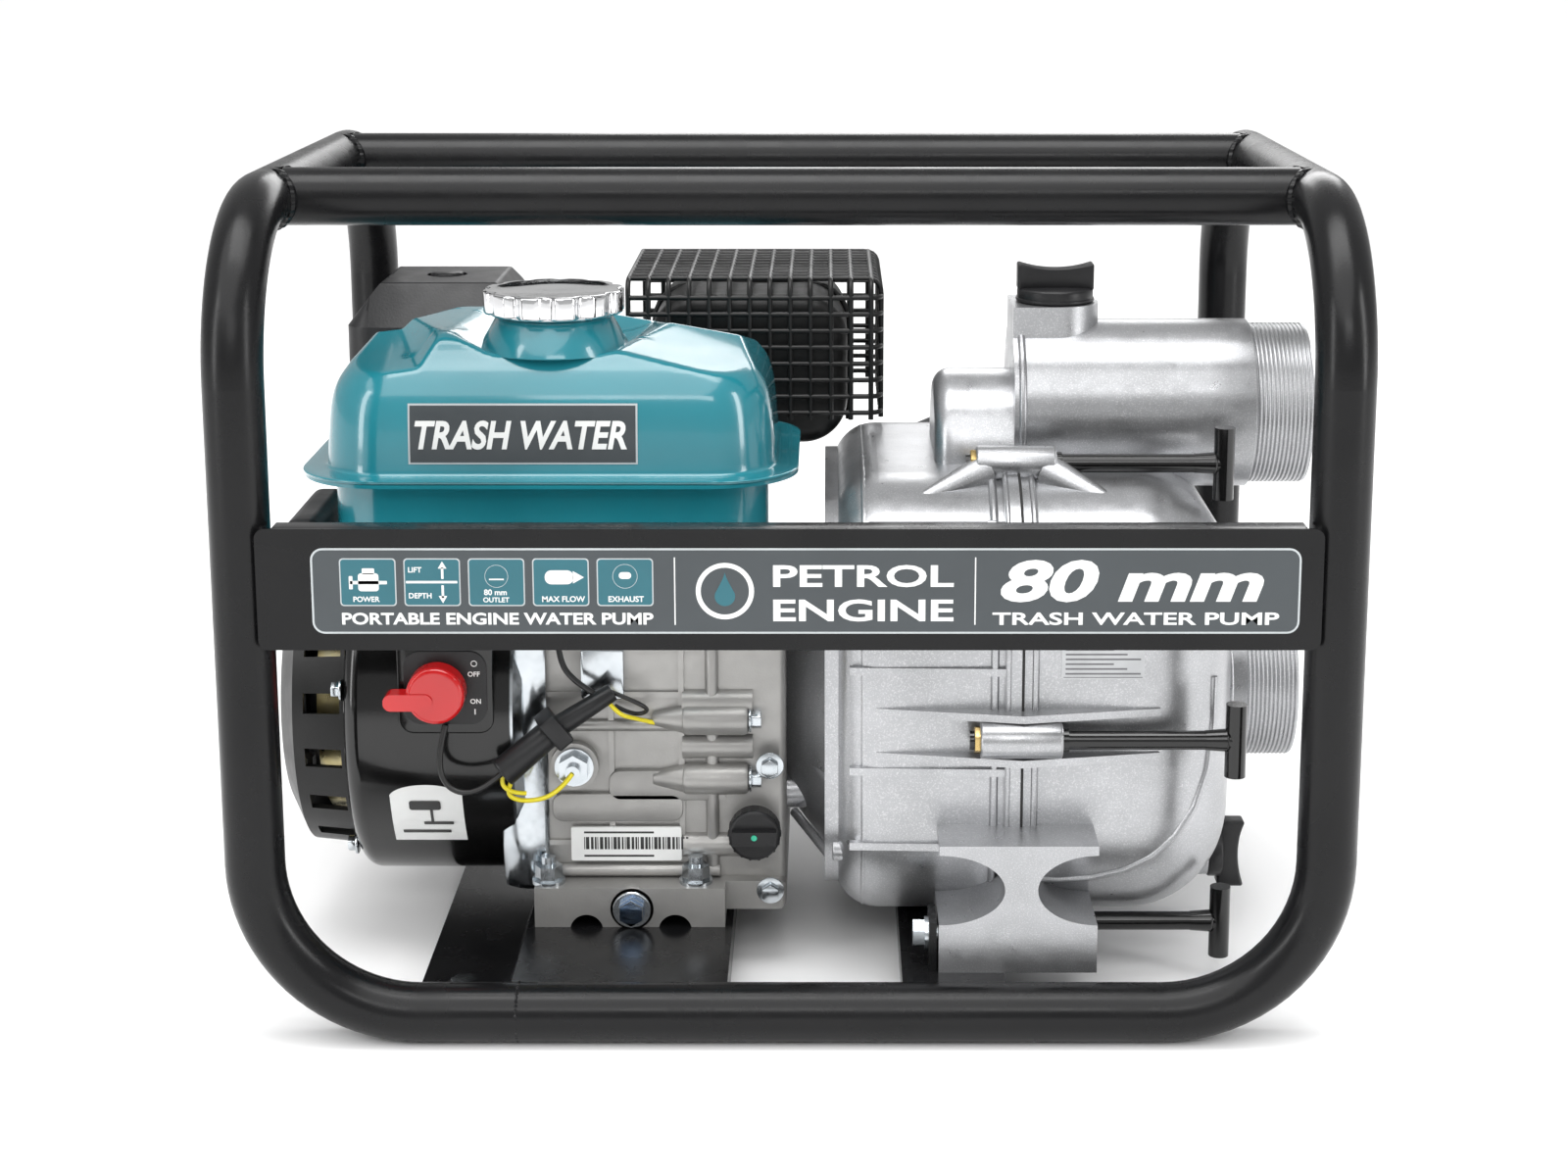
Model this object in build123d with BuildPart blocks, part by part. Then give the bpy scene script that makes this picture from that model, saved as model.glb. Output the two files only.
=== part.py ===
"""Petrol engine trash water pump in a tubular carrying frame.

Millimetres. X runs along the crankshaft from the recoil starter to the pump ports, -Y is the
front with the name plate, +Z is up, and the origin is under the middle of the frame on the floor.
"""

from build123d import *
import os
from math import cos, sin, tan, radians

os.makedirs("parts", exist_ok=True)

# Driving dimensions
FRAME_LENGTH = 570.0
FRAME_WIDTH = 430.0
FRAME_HEIGHT = 436.0
TUBE_R = 15.0
TUBE_WALL = 2.0
TUBE_BEND = 81.0
SEAM_X = -139.0
BASE_Z = 26.0

CRANK_Y = -13.0
CRANK_Z = BASE_Z + 106.0
CYLINDER_TILT = 25.0
STROKE = 54.0
BORE = 68.0
SHAFT_R = 9.5
RUNNING_GAP = 0.05
LOOSE_GAP = 0.3

CASE_X = (-145.0, -37.0)
COVER_X = (-37.0, -4.0)
DRUM_X = (-241.0, -151.0)
DRUM_R = 103.0
RECOIL_X = (-280.0, -241.0)
RECOIL_R = 90.0

PUMP_X = (22.0, 236.0)
SPLIT_X = 120.0
PUMP_Y = (-143.0, 117.0)
PUMP_Z = (28.0, 270.0)
PUMP_CORNER = 65.0
PUMP_WALL = 6.0
PORT_THREAD_R = 43.94
PORT_BORE_R = 38.0
PORT_THREAD = 30.0
DISCHARGE_Z = 296.0
SUCTION_Z = 137.0
PIPE_R = 46.75

LEG_X = FRAME_LENGTH / 2 - TUBE_R
LEG_Y = FRAME_WIDTH / 2 - TUBE_R
RAIL_Z = FRAME_HEIGHT - TUBE_R
SHAFT = Plane(origin=(0, CRANK_Y, CRANK_Z), x_dir=(1, 0, 0), z_dir=(0, -1, 0))
SHAFT_AXIS = Axis((0, CRANK_Y, CRANK_Z), (1, 0, 0))


def save(piece, name):
    """Labels a finished piece and writes it as its own STEP file."""
    piece.part.label = name
    export_step(piece.part, f"parts/{name}.step")


def block(x, y, z, mode=Mode.ADD):
    """A box between two values on each axis, for the open part."""
    centre = ((x[0] + x[1]) / 2, (y[0] + y[1]) / 2, (z[0] + z[1]) / 2)
    with Locations(centre):
        return Box(x[1] - x[0], y[1] - y[0], z[1] - z[0], mode=mode)


def rod(start, end, r, mode=Mode.ADD):
    """A round bar from one point to another, for the open part."""
    run = Vector(*end) - Vector(*start)
    with Locations(Plane(origin=start, z_dir=run).location):
        return Cylinder(r, run.length, align=(Align.CENTER, Align.CENTER, Align.MIN), mode=mode)


def hexagon(start, end, across, mode=Mode.ADD):
    """A hexagonal prism, such as a bolt's head, from one point to another."""
    run = Vector(*end) - Vector(*start)
    with BuildSketch(Plane(origin=start, z_dir=run)) as outline:
        RegularPolygon(across / 2, 6, major_radius=False)
    extrude(outline.sketch, amount=run.length, mode=mode)


def turned(points, mode=Mode.ADD, plane=SHAFT, axis=SHAFT_AXIS):
    """A ring turned from (along, radius) points about the shaft, for the open part."""
    with BuildSketch(plane) as outline:
        with BuildLine():
            Polyline(*points, close=True)
        make_face()
    revolve(outline.sketch, axis=axis, mode=mode)


def wire_radii(points):
    """The bend radius at each inner point of a wire's route."""
    radii = []
    for before, here, after in zip(points, points[1:], points[2:]):
        run_in = Vector(*here) - Vector(*before)
        run_out = Vector(*after) - Vector(*here)
        turn = radians(run_in.get_angle(run_out))
        radii.append(0.45 * min(run_in.length, run_out.length) / tan(turn / 2))
    return radii


def wire(points, r):
    """A round wire along a route of straight runs and arcs, for the open part."""
    with BuildLine() as route:
        FilletPolyline(*points, radius=wire_radii(points))
    with BuildSketch(Plane(origin=points[0], z_dir=route.line % 0)) as section:
        Circle(r)
    sweep(section.sketch, path=route.line)


# ---------------------------------------------------------------- frame

# Each side of the frame is one bent tube: along the floor, up a leg, over the top and back down.
# The two sides meet at a seam in the floor tubes, left of the engine.
for side, name in ((-1, "frame_left_loop"), (1, "frame_right_loop")):
    with BuildPart() as loop:
        with BuildLine() as loop_path:
            FilletPolyline(
                (SEAM_X, -LEG_Y, TUBE_R),
                (side * LEG_X, -LEG_Y, TUBE_R),
                (side * LEG_X, -LEG_Y, RAIL_Z),
                (side * LEG_X, LEG_Y, RAIL_Z),
                (side * LEG_X, LEG_Y, TUBE_R),
                (SEAM_X, LEG_Y, TUBE_R),
                radius=TUBE_BEND,
            )
        with BuildSketch(Plane(origin=(SEAM_X, -LEG_Y, TUBE_R), z_dir=(side, 0, 0))):
            Circle(TUBE_R)
            Circle(TUBE_R - TUBE_WALL, mode=Mode.SUBTRACT)
        sweep(path=loop_path.line)
    save(loop, name)

# The two top rails are coped round the side tubes and welded.
RAIL_Y = 100.0
COPE_REACH = 8.0
with BuildPart() as top_tubes:
    for y in (-RAIL_Y, RAIL_Y):
        reach = LEG_X - COPE_REACH
        rod((-reach, y, RAIL_Z), (reach, y, RAIL_Z), TUBE_R)
        rod((-reach, y, RAIL_Z), (reach, y, RAIL_Z), TUBE_R - TUBE_WALL, mode=Mode.SUBTRACT)
    for x in (-LEG_X, LEG_X):
        rod((x, -LEG_Y, RAIL_Z), (x, LEG_Y, RAIL_Z), TUBE_R, mode=Mode.SUBTRACT)
save(top_tubes, "frame_top_tubes")

# The engine stands on a folded plate welded between the floor tubes, with a lower flange on its
# left that takes a bolt at each end.
PLATE_Y = 189.5
PLATE_T = 2.0
FLANGE_Z = 10.0
ENGINE_PLATE_X = (-144.0, -33.0)
FLANGE_X = -196.0
FLANGE_BOLT = (-172.0, 165.0)
STUD_X = (-133.0, -53.0)
STUD_Y = (-105.0, 83.0)


def cope_to_floor_tubes():
    """Cuts the open part back to the round of both floor tubes."""
    for y in (-LEG_Y, LEG_Y):
        rod((-LEG_X, y, TUBE_R), (LEG_X, y, TUBE_R), TUBE_R, mode=Mode.SUBTRACT)


with BuildPart() as engine_plate:
    with BuildSketch(Plane.XZ.offset(-PLATE_Y)):
        with BuildLine():
            left, right = ENGINE_PLATE_X
            Polyline(
                (FLANGE_X, FLANGE_Z),
                (left - 6, FLANGE_Z),
                (left, BASE_Z),
                (right, BASE_Z),
                (right, FLANGE_Z - PLATE_T),
                (right - PLATE_T, FLANGE_Z - PLATE_T),
                (right - PLATE_T, BASE_Z - PLATE_T),
                (left + PLATE_T, BASE_Z - PLATE_T),
                (left - 6 + PLATE_T, FLANGE_Z - PLATE_T),
                (FLANGE_X, FLANGE_Z - PLATE_T),
                close=True,
            )
        make_face()
    extrude(amount=2 * PLATE_Y)
    cope_to_floor_tubes()
    for y in (-FLANGE_BOLT[1], FLANGE_BOLT[1]):
        rod((FLANGE_BOLT[0], y, 0), (FLANGE_BOLT[0], y, 20), 4.3, mode=Mode.SUBTRACT)
    for x in STUD_X:
        for y in STUD_Y:
            rod((x, y, 15), (x, y, 30), 4.3, mode=Mode.SUBTRACT)
save(engine_plate, "engine_base_plate")

# The pump stands on a narrower channel whose upturned tabs hold the pump's feet.
PUMP_PLATE_X = (57.0, 110.0)
TAB_X = (71.0, 75.0)
FOOT_Y = (-176.0, 150.0)
with BuildPart() as pump_plate:
    block(PUMP_PLATE_X, (-PLATE_Y, PLATE_Y), (BASE_Z - 16, BASE_Z))
    inner_x = (PUMP_PLATE_X[0] + PLATE_T, PUMP_PLATE_X[1] - PLATE_T)
    block(inner_x, (-PLATE_Y, PLATE_Y), (BASE_Z - 20, BASE_Z - PLATE_T), mode=Mode.SUBTRACT)
    cope_to_floor_tubes()
    for y in (FOOT_Y[0] + 14, FOOT_Y[1] - 14):
        block(TAB_X, (y - 13, y + 13), (BASE_Z, BASE_Z + 27))
        rod((TAB_X[0], y, 42), (TAB_X[1], y, 42), 4.3, mode=Mode.SUBTRACT)
save(pump_plate, "pump_base_plate")

# The name plate is a shallow folded channel welded across the front legs.
NAME_Z = (211.0, 272.0)
NAME_T = 1.5
with BuildPart() as name_plate:
    with BuildSketch(Plane.XZ.offset(FRAME_WIDTH / 2 - NAME_T)):
        with Locations((0, sum(NAME_Z) / 2)):
            RectangleRounded(520, NAME_Z[1] - NAME_Z[0], 5)
    extrude(amount=NAME_T)
    for z in (NAME_Z[0], NAME_Z[1] - NAME_T):
        block((-252, 252), (-FRAME_WIDTH / 2 + NAME_T, -200), (z, z + NAME_T))
save(name_plate, "name_plate")

# ---------------------------------------------------------------- engine castings

TILT = radians(CYLINDER_TILT)
ALONG = Vector(0, cos(TILT), sin(TILT))
ACROSS = Vector(0, -sin(TILT), cos(TILT))
CYLINDER_X = sum(CASE_X) / 2


def cylinder_plane(s):
    """The plane across the cylinder at a distance from the crank's axis: x is X, y is across."""
    origin = Vector(CYLINDER_X, CRANK_Y, CRANK_Z) + ALONG * s
    return Plane(origin=origin, x_dir=(1, 0, 0), z_dir=(0, cos(TILT), sin(TILT)))


def fins(stations, width, height, thick, corner):
    """Cooling fins, one rounded plate at each station along the cylinder."""
    for s in stations:
        with BuildSketch(cylinder_plane(s)) as outline:
            RectangleRounded(width, height, corner)
        extrude(outline.sketch, amount=thick)


WALL = 6.0
CASE_Y = (-95.0, 72.0)
CASE_Z = (48.0, 208.0)
FOOT_X = (-140.0, -37.0)
DECK_S = 128.0
SENSOR = (-118.3, 112.3)
DRAIN = (-87.3, 36.3)

# The crankcase and the finned cylinder are one aluminium casting, open on the drive side.
with BuildPart() as crankcase:
    block(CASE_X, CASE_Y, CASE_Z)
    fillet(crankcase.edges().filter_by(Axis.X).group_by(Axis.Z)[-1], 24)
    block(FOOT_X, (-115, 93), (BASE_Z, CASE_Z[0]))
    with BuildSketch(cylinder_plane(70)):
        Rectangle(92, 88)
    extrude(amount=DECK_S - 70)
    fins((97, 105, 113, 121), 104, 102, 2.5, 8)
    # Ribs that stiffen the front wall.
    for z in (66, 92, 150, 176):
        block((CASE_X[0] + 4, CASE_X[1]), (CASE_Y[0] - 2, CASE_Y[0]), (z, z + 3))
    for x in (-100, -62):
        block((x, x + 3), (CASE_Y[0] - 2, CASE_Y[0]), (60, 190))
    # Pads and bosses on the front wall: the oil sensor's and the cover's screw bosses.
    rod((SENSOR[0], CASE_Y[0], SENSOR[1]), (SENSOR[0], CASE_Y[0] - 6, SENSOR[1]), 13)
    for z in (196, 147, 122, 66):
        rod((-60, CASE_Y[0] + 1, z), (CASE_X[1], CASE_Y[0] + 1, z), 7)
    inside_x = (CASE_X[0] + WALL, CASE_X[1])
    inside_y = (CASE_Y[0] + WALL + 3, CASE_Y[1] - WALL)
    block(inside_x, inside_y, (CASE_Z[0] + WALL, CASE_Z[1] - WALL - 2), mode=Mode.SUBTRACT)
    with BuildSketch(cylinder_plane(50)):
        Circle(BORE / 2)
    extrude(amount=DECK_S - 50, mode=Mode.SUBTRACT)
    rod((-150, CRANK_Y, CRANK_Z), (-130, CRANK_Y, CRANK_Z), 15 + RUNNING_GAP, mode=Mode.SUBTRACT)
    rod((DRAIN[0], -118, DRAIN[1]), (DRAIN[0], -98, DRAIN[1]), 5.2, mode=Mode.SUBTRACT)
    rod((SENSOR[0], -110, SENSOR[1]), (SENSOR[0], -80, SENSOR[1]), 5.2, mode=Mode.SUBTRACT)
    for x in STUD_X:
        for y in STUD_Y:
            rod((x, y, 15), (x, y, 60), 4.3, mode=Mode.SUBTRACT)
    for x in (-112, -64):
        rod((x, -125, BASE_Z - 2), (x, 100, BASE_Z - 2), 9, mode=Mode.SUBTRACT)
save(crankcase, "crankcase")

# The cover closes the drive side, carries the front bearing and takes the oil filler.
DIPSTICK = (-21.0, 76.5)
with BuildPart() as cover:
    block(COVER_X, CASE_Y, CASE_Z)
    fillet(cover.edges().filter_by(Axis.X).group_by(Axis.Z)[-1], 24)
    block(COVER_X, (-104, 80), (32, CASE_Z[0]))
    fillet(cover.faces().sort_by(Axis.X)[-1].outer_wire().edges(), 4)
    for z in (196, 147, 122, 66):
        rod((COVER_X[0], CASE_Y[0] + 1, z), (COVER_X[0] + 15, CASE_Y[0] + 1, z), 7)
    rod((DIPSTICK[0], -84, DIPSTICK[1]), (DIPSTICK[0], -101, DIPSTICK[1]), 12)
    inside_y = (CASE_Y[0] + WALL + 3, CASE_Y[1] - WALL)
    inside_z = (CASE_Z[0] + WALL, CASE_Z[1] - WALL - 2)
    block((COVER_X[0], COVER_X[1] - WALL), inside_y, inside_z, mode=Mode.SUBTRACT)
    rod((-24, CRANK_Y, CRANK_Z), (-4, CRANK_Y, CRANK_Z), 34)
    rod((-40, CRANK_Y, CRANK_Z), (0, CRANK_Y, CRANK_Z), 15 + RUNNING_GAP, mode=Mode.SUBTRACT)
    rod((DIPSTICK[0], -110, DIPSTICK[1]), (DIPSTICK[0], -80, DIPSTICK[1]), 8, mode=Mode.SUBTRACT)
save(cover, "crankcase_cover")

# The head carries the valves and plug behind its own fins, with the exhaust boss on top.
HEAD_S = (DECK_S, 162.0)
EXHAUST = (-60.0, 97.0, 250.0)
with BuildPart() as head:
    with BuildSketch(cylinder_plane(HEAD_S[0])):
        RectangleRounded(92, 88, 8)
    extrude(amount=HEAD_S[1] - HEAD_S[0])
    fins((131, 138.5, 146, 153.5), 104, 100, 2.5, 8)
    rod((EXHAUST[0], EXHAUST[1], 234.5), EXHAUST, 16)
    rod((-134.5, 118, 205), (-148, 118, 205), 20)
    with BuildSketch(cylinder_plane(HEAD_S[0])):
        Circle(BORE / 2)
    extrude(amount=12, mode=Mode.SUBTRACT)
    rod((EXHAUST[0], EXHAUST[1], 215), (EXHAUST[0], EXHAUST[1], 255), 11, mode=Mode.SUBTRACT)
    rod((-115, 118, 205), (-150, 118, 205), 11, mode=Mode.SUBTRACT)
    plug_hole = cylinder_plane(HEAD_S[1] - 14)
    with BuildSketch(plug_hole):
        with Locations((22, -34)):
            Circle(5.2)
    extrude(amount=20, mode=Mode.SUBTRACT)
save(head, "cylinder_head")

with BuildPart() as rocker_cover:
    with BuildSketch(cylinder_plane(HEAD_S[1])):
        with Locations((-4, 11)):
            RectangleRounded(78, 64, 12)
    extrude(amount=24, taper=6)
    fillet(rocker_cover.edges().group_by(Axis(origin=(0, 0, 0), direction=ALONG))[-1], 6)
    with BuildSketch(cylinder_plane(HEAD_S[1])):
        with Locations((-4, 11)):
            RectangleRounded(72, 58, 10)
    extrude(amount=18, taper=6, mode=Mode.SUBTRACT)
save(rocker_cover, "rocker_cover")

PLUG = cylinder_plane(HEAD_S[1]).from_local_coords(Vector(22, -34, 0))
with BuildPart() as spark_plug:
    for r, start, end in ((5.0, -12, 0), (10.4, 0, 8), (7.0, 8, 20), (11.0, 20, 38)):
        rod(PLUG + ALONG * start, PLUG + ALONG * end, r)
save(spark_plug, "spark_plug")

# ---------------------------------------------------------------- moving engine parts

# One forged crank with its webs, a long drive end for the pump and a short tail for the flywheel.
THROW = STROKE / 2
PIN_Z = CRANK_Z - THROW
with BuildPart() as crankshaft:
    rod((-235, CRANK_Y, CRANK_Z), (-150, CRANK_Y, CRANK_Z), 10)
    rod((-150, CRANK_Y, CRANK_Z), (-104, CRANK_Y, CRANK_Z), 15)
    rod((-78, CRANK_Y, CRANK_Z), (-3, CRANK_Y, CRANK_Z), 15)
    rod((-3, CRANK_Y, CRANK_Z), (76, CRANK_Y, CRANK_Z), SHAFT_R)
    for x in ((-114, -103), (-79, -68)):
        block(x, (CRANK_Y - 17, CRANK_Y + 17), (PIN_Z - 17, CRANK_Z + 42))
    rod((-105, CRANK_Y, PIN_Z), (-77, CRANK_Y, PIN_Z), 15)
save(crankshaft, "crankshaft")

PISTON_S = (92.0, 124.0)
with BuildPart() as piston:
    with BuildSketch(cylinder_plane(PISTON_S[0])):
        Circle(BORE / 2 - LOOSE_GAP)
        Circle(BORE / 2 - 5, mode=Mode.SUBTRACT)
    extrude(amount=PISTON_S[1] - PISTON_S[0])
    with BuildSketch(cylinder_plane(PISTON_S[1] - 7)):
        Circle(BORE / 2 - LOOSE_GAP)
    extrude(amount=7)
    pin = Vector(CYLINDER_X, CRANK_Y, CRANK_Z) + ALONG * (PISTON_S[0] + 13)
    rod(pin - Vector(31, 0, 0), pin + Vector(31, 0, 0), 9)
save(piston, "piston")

# The flywheel is also the cooling fan: blades stand on its outer face.
with BuildPart() as flywheel:
    turned([(-204, 10 + RUNNING_GAP), (-204, 88), (-172, 88), (-172, 76), (-194, 76),
            (-194, 24), (-164, 24), (-164, 10 + RUNNING_GAP)])
    turned([(-234, 10 + RUNNING_GAP), (-234, 22), (-203, 30), (-203, 10 + RUNNING_GAP)])
    with Locations(Location((-215, CRANK_Y, CRANK_Z), (0, 90, 0))):
        with PolarLocations(72, 16):
            with Locations(Location((0, 0, 0), (0, 0, 25))):
                Box(26, 3, 26)
save(flywheel, "flywheel")

# The starter cup is a pressed, perforated cup screwed to the flywheel for the recoil pawls.
with BuildPart() as cup:
    turned([(-238, 11), (-238, 70), (-260, 70), (-260, 68), (-240, 68), (-240, 11)])
    with Locations(Location((-239, CRANK_Y, CRANK_Z), (0, 90, 0))):
        with PolarLocations(54, 12):
            Cylinder(6, 8, mode=Mode.SUBTRACT)
    turned([(-238, 11), (-238, 16), (-234, 16), (-234, 11)])
save(cup, "starter_cup")

# ---------------------------------------------------------------- cooling housings

# A pressed steel drum round the flywheel, with a duct towards the cylinder and a flat top under
# the tank. It is open towards the engine and has a round mouth behind the recoil starter.
DRUM_TOP = 228.0
DRUM_ROUND = 9.0
SHELL = 2.0


def drum_section(inset):
    """The drum's outline across the shaft, drawn on the open sketch."""
    with Locations((CRANK_Y, CRANK_Z)):
        Circle(DRUM_R - inset)
    with Locations((CRANK_Y + 50, CRANK_Z + 46)):
        RectangleRounded(100 - 2 * inset, 84 - 2 * inset, 10)
    with Locations((CRANK_Y, DRUM_TOP - inset + 20)):
        Rectangle(240, 40, mode=Mode.SUBTRACT)


with BuildPart() as drum:
    with BuildSketch(Plane.YZ.offset(DRUM_X[0])):
        drum_section(0)
    extrude(amount=DRUM_X[1] - DRUM_X[0])
    fillet(drum.faces().sort_by(Axis.X)[0].outer_wire().edges(), DRUM_ROUND)
    # The hollow steps in behind the rounded edge, so that the wall stays whole there.
    for start, inset in ((SHELL, DRUM_ROUND), (DRUM_ROUND, SHELL)):
        with BuildSketch(Plane.YZ.offset(DRUM_X[0] + start)):
            drum_section(inset)
        extrude(amount=DRUM_X[1] - DRUM_X[0] - start, mode=Mode.SUBTRACT)
    rod((-250, CRANK_Y, CRANK_Z), (-230, CRANK_Y, CRANK_Z), 76, mode=Mode.SUBTRACT)
save(drum, "fan_housing")

# A zinc-plated inner plate closes the drum against the crankcase.
with BuildPart() as inner_shroud:
    with BuildSketch(Plane.YZ.offset(DRUM_X[1])):
        drum_section(1.5)
    extrude(amount=CASE_X[0] - DRUM_X[1])
    chamfer(inner_shroud.faces().sort_by(Axis.X)[-1].outer_wire().edges(), 4.5)
    rod((-160, CRANK_Y, CRANK_Z), (-140, CRANK_Y, CRANK_Z), 24, mode=Mode.SUBTRACT)
save(inner_shroud, "inner_shroud")

# The recoil starter's dished cover has cooling slots round its side and face.
with BuildPart() as recoil:
    turned([(RECOIL_X[1], RECOIL_R), (RECOIL_X[1], RECOIL_R - 3), (-268, RECOIL_R - 6),
            (-277, RECOIL_R - 22), (-277, 0), (-280, 0), (-280, RECOIL_R - 22),
            (-270, RECOIL_R - 3)])
    rod((-278, CRANK_Y, CRANK_Z), (-262, CRANK_Y, CRANK_Z), 7)
    with Locations(Location((-254, CRANK_Y, CRANK_Z), (0, 90, 0))):
        with PolarLocations(RECOIL_R, 18):
            Box(16, 11, 20, mode=Mode.SUBTRACT)
    with Locations(Location((-278, CRANK_Y, CRANK_Z), (0, 90, 0))):
        with PolarLocations(52, 12):
            Box(18, 9, 12, mode=Mode.SUBTRACT)
    # The rope guide stands on the rim above the front.
    block((-268, -246), (-86, -62), (194, 210))
    rod((-257, -74, 180), (-257, -74, 215), 3.5, mode=Mode.SUBTRACT)
save(recoil, "recoil_housing")

PULLEY_R = 33.0
with BuildPart() as pulley:
    turned([(-275, 7 + RUNNING_GAP), (-275, 40), (-272, 40), (-271, PULLEY_R), (-267, PULLEY_R),
            (-266, 40), (-263, 40), (-263, 7 + RUNNING_GAP)])
save(pulley, "recoil_pulley")

# The starter grip is a moulded bar across the rope's knot.
GRIP = (-257.5, -74.0, 239.0)
with BuildPart() as grip:
    block((GRIP[0] - 10, GRIP[0] + 10), (GRIP[1] - 42, GRIP[1] + 42), (GRIP[2] - 9, GRIP[2] + 13))
    fillet(grip.edges(), 7)
    rod((GRIP[0], GRIP[1], GRIP[2] - 24), (GRIP[0], GRIP[1], GRIP[2]), 8)
    rod((GRIP[0], GRIP[1], GRIP[2] - 24), (GRIP[0], GRIP[1], GRIP[2] - 18), 2.3, mode=Mode.SUBTRACT)
save(grip, "starter_grip")

with BuildPart() as rope:
    rod((GRIP[0], GRIP[1], 196), (GRIP[0], GRIP[1], GRIP[2] - 18), 2)
save(rope, "starter_rope")

# ---------------------------------------------------------------- fuel tank

TANK_X = (-247.0, -9.0)
TANK_Y = (-122.0, 26.0)
TANK_SEAM = 275.5
TANK_TOP = 349.0
TANK_FLOOR = 230.0
TANK_LIP = 2.0
TANK_ROUND = 10.0
NECK = (-127.0, -72.0)


def tank_section(x, y, grow, corner):
    """A rounded rectangle over the given spans, grown all round, on the open sketch."""
    with Locations(((x[0] + x[1]) / 2, (y[0] + y[1]) / 2)):
        RectangleRounded(x[1] - x[0] + 2 * grow, y[1] - y[0] + 2 * grow, corner)


# The upper shell is drawn from one sheet, with sloping sides and a sunk saddle for the cap.
with BuildPart() as tank_upper:
    with BuildSketch(Plane.XY.offset(TANK_SEAM)):
        tank_section(TANK_X, TANK_Y, 0, 36)
    extrude(amount=TANK_TOP - TANK_SEAM, taper=9)
    fillet(tank_upper.faces().sort_by(Axis.Z)[-1].edges(), 20)
    with BuildSketch(Plane.XY.offset(TANK_SEAM)):
        tank_section(TANK_X, TANK_Y, 11.5, 46)
    extrude(amount=TANK_LIP)
    with BuildSketch(Plane.XY.offset(TANK_SEAM)):
        tank_section(TANK_X, TANK_Y, -1.5, 34.5)
    extrude(amount=TANK_TOP - TANK_SEAM - 6, taper=11.5, mode=Mode.SUBTRACT)
    rod((NECK[0], NECK[1], TANK_TOP - 8), (NECK[0], NECK[1], TANK_TOP + 6), 28)
    rod((NECK[0], NECK[1], TANK_TOP - 20), (NECK[0], NECK[1], TANK_TOP + 8), 25, mode=Mode.SUBTRACT)
save(tank_upper, "fuel_tank_upper")

with BuildPart() as tank_lower:
    with BuildSketch(Plane.XY.offset(TANK_FLOOR)):
        tank_section(TANK_X, TANK_Y, -4, 32)
    extrude(amount=TANK_SEAM - TANK_FLOOR)
    fillet(tank_lower.faces().sort_by(Axis.Z)[0].edges(), TANK_ROUND)
    with BuildSketch(Plane.XY.offset(TANK_SEAM - TANK_LIP)):
        tank_section(TANK_X, TANK_Y, 12, 46)
    extrude(amount=TANK_LIP)
    for start, inset in ((1.5, TANK_ROUND + 4), (TANK_ROUND, 5.5)):
        with BuildSketch(Plane.XY.offset(TANK_FLOOR + start)):
            tank_section(TANK_X, TANK_Y, -inset, 36 - inset)
        extrude(amount=TANK_SEAM - TANK_FLOOR - start, mode=Mode.SUBTRACT)
    # Two feet bring the tank down to the drum and the crankcase.
    block((-215, -170), (-28, 2), (DRUM_TOP, TANK_FLOOR + 1))
    block((-120, -60), (-50, 10), (CASE_Z[1], TANK_FLOOR + 1))
save(tank_lower, "fuel_tank_lower")

CAP_R = 37.5
with BuildPart() as fuel_cap:
    rod((NECK[0], NECK[1], TANK_TOP + 1), (NECK[0], NECK[1], TANK_TOP + 20), CAP_R)
    fillet(fuel_cap.edges().group_by(Axis.Z)[-1], 3)
    with Locations((NECK[0], NECK[1], TANK_TOP + 10)):
        with PolarLocations(CAP_R + 2.6, 12):
            Cylinder(5.5, 24, mode=Mode.SUBTRACT)
    rod((NECK[0], NECK[1], TANK_TOP), (NECK[0], NECK[1], TANK_TOP + 9), 29, mode=Mode.SUBTRACT)
save(fuel_cap, "fuel_cap")

# ---------------------------------------------------------------- intake and exhaust

CARB = (118.0, 205.0)
with BuildPart() as carburettor:
    rod((-200, CARB[0], CARB[1]), (-148, CARB[0], CARB[1]), 16)
    block((-192, -158), (98, 137), (190, 232))
    fillet(carburettor.edges().filter_by(Axis.X), 4)
    rod((-175, CARB[0], 168), (-175, CARB[0], 192), 19)
    rod((-205, CARB[0], CARB[1]), (-140, CARB[0], CARB[1]), 11, mode=Mode.SUBTRACT)
save(carburettor, "carburettor")

# The air filter's base carries an elbow down to the carburettor.
FILTER_X = (-264.0, -158.0)
FILTER_Y = (60.0, 168.0)
FILTER_Z = (246.0, 350.0)
FILTER_SHOULDER = 326.0
with BuildPart() as filter_base:
    with BuildSketch(Plane.XY.offset(FILTER_Z[0])):
        tank_section(FILTER_X, FILTER_Y, -1.5, 12)
    extrude(amount=12)
    block((-234, -200), (100, 136), (184, FILTER_Z[0]))
    rod((-238, CARB[0], CARB[1]), (-200, CARB[0], CARB[1]), 11, mode=Mode.SUBTRACT)
    block((-229, -206), (106, 130), (CARB[1], 262), mode=Mode.SUBTRACT)
save(filter_base, "air_filter_base")

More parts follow.
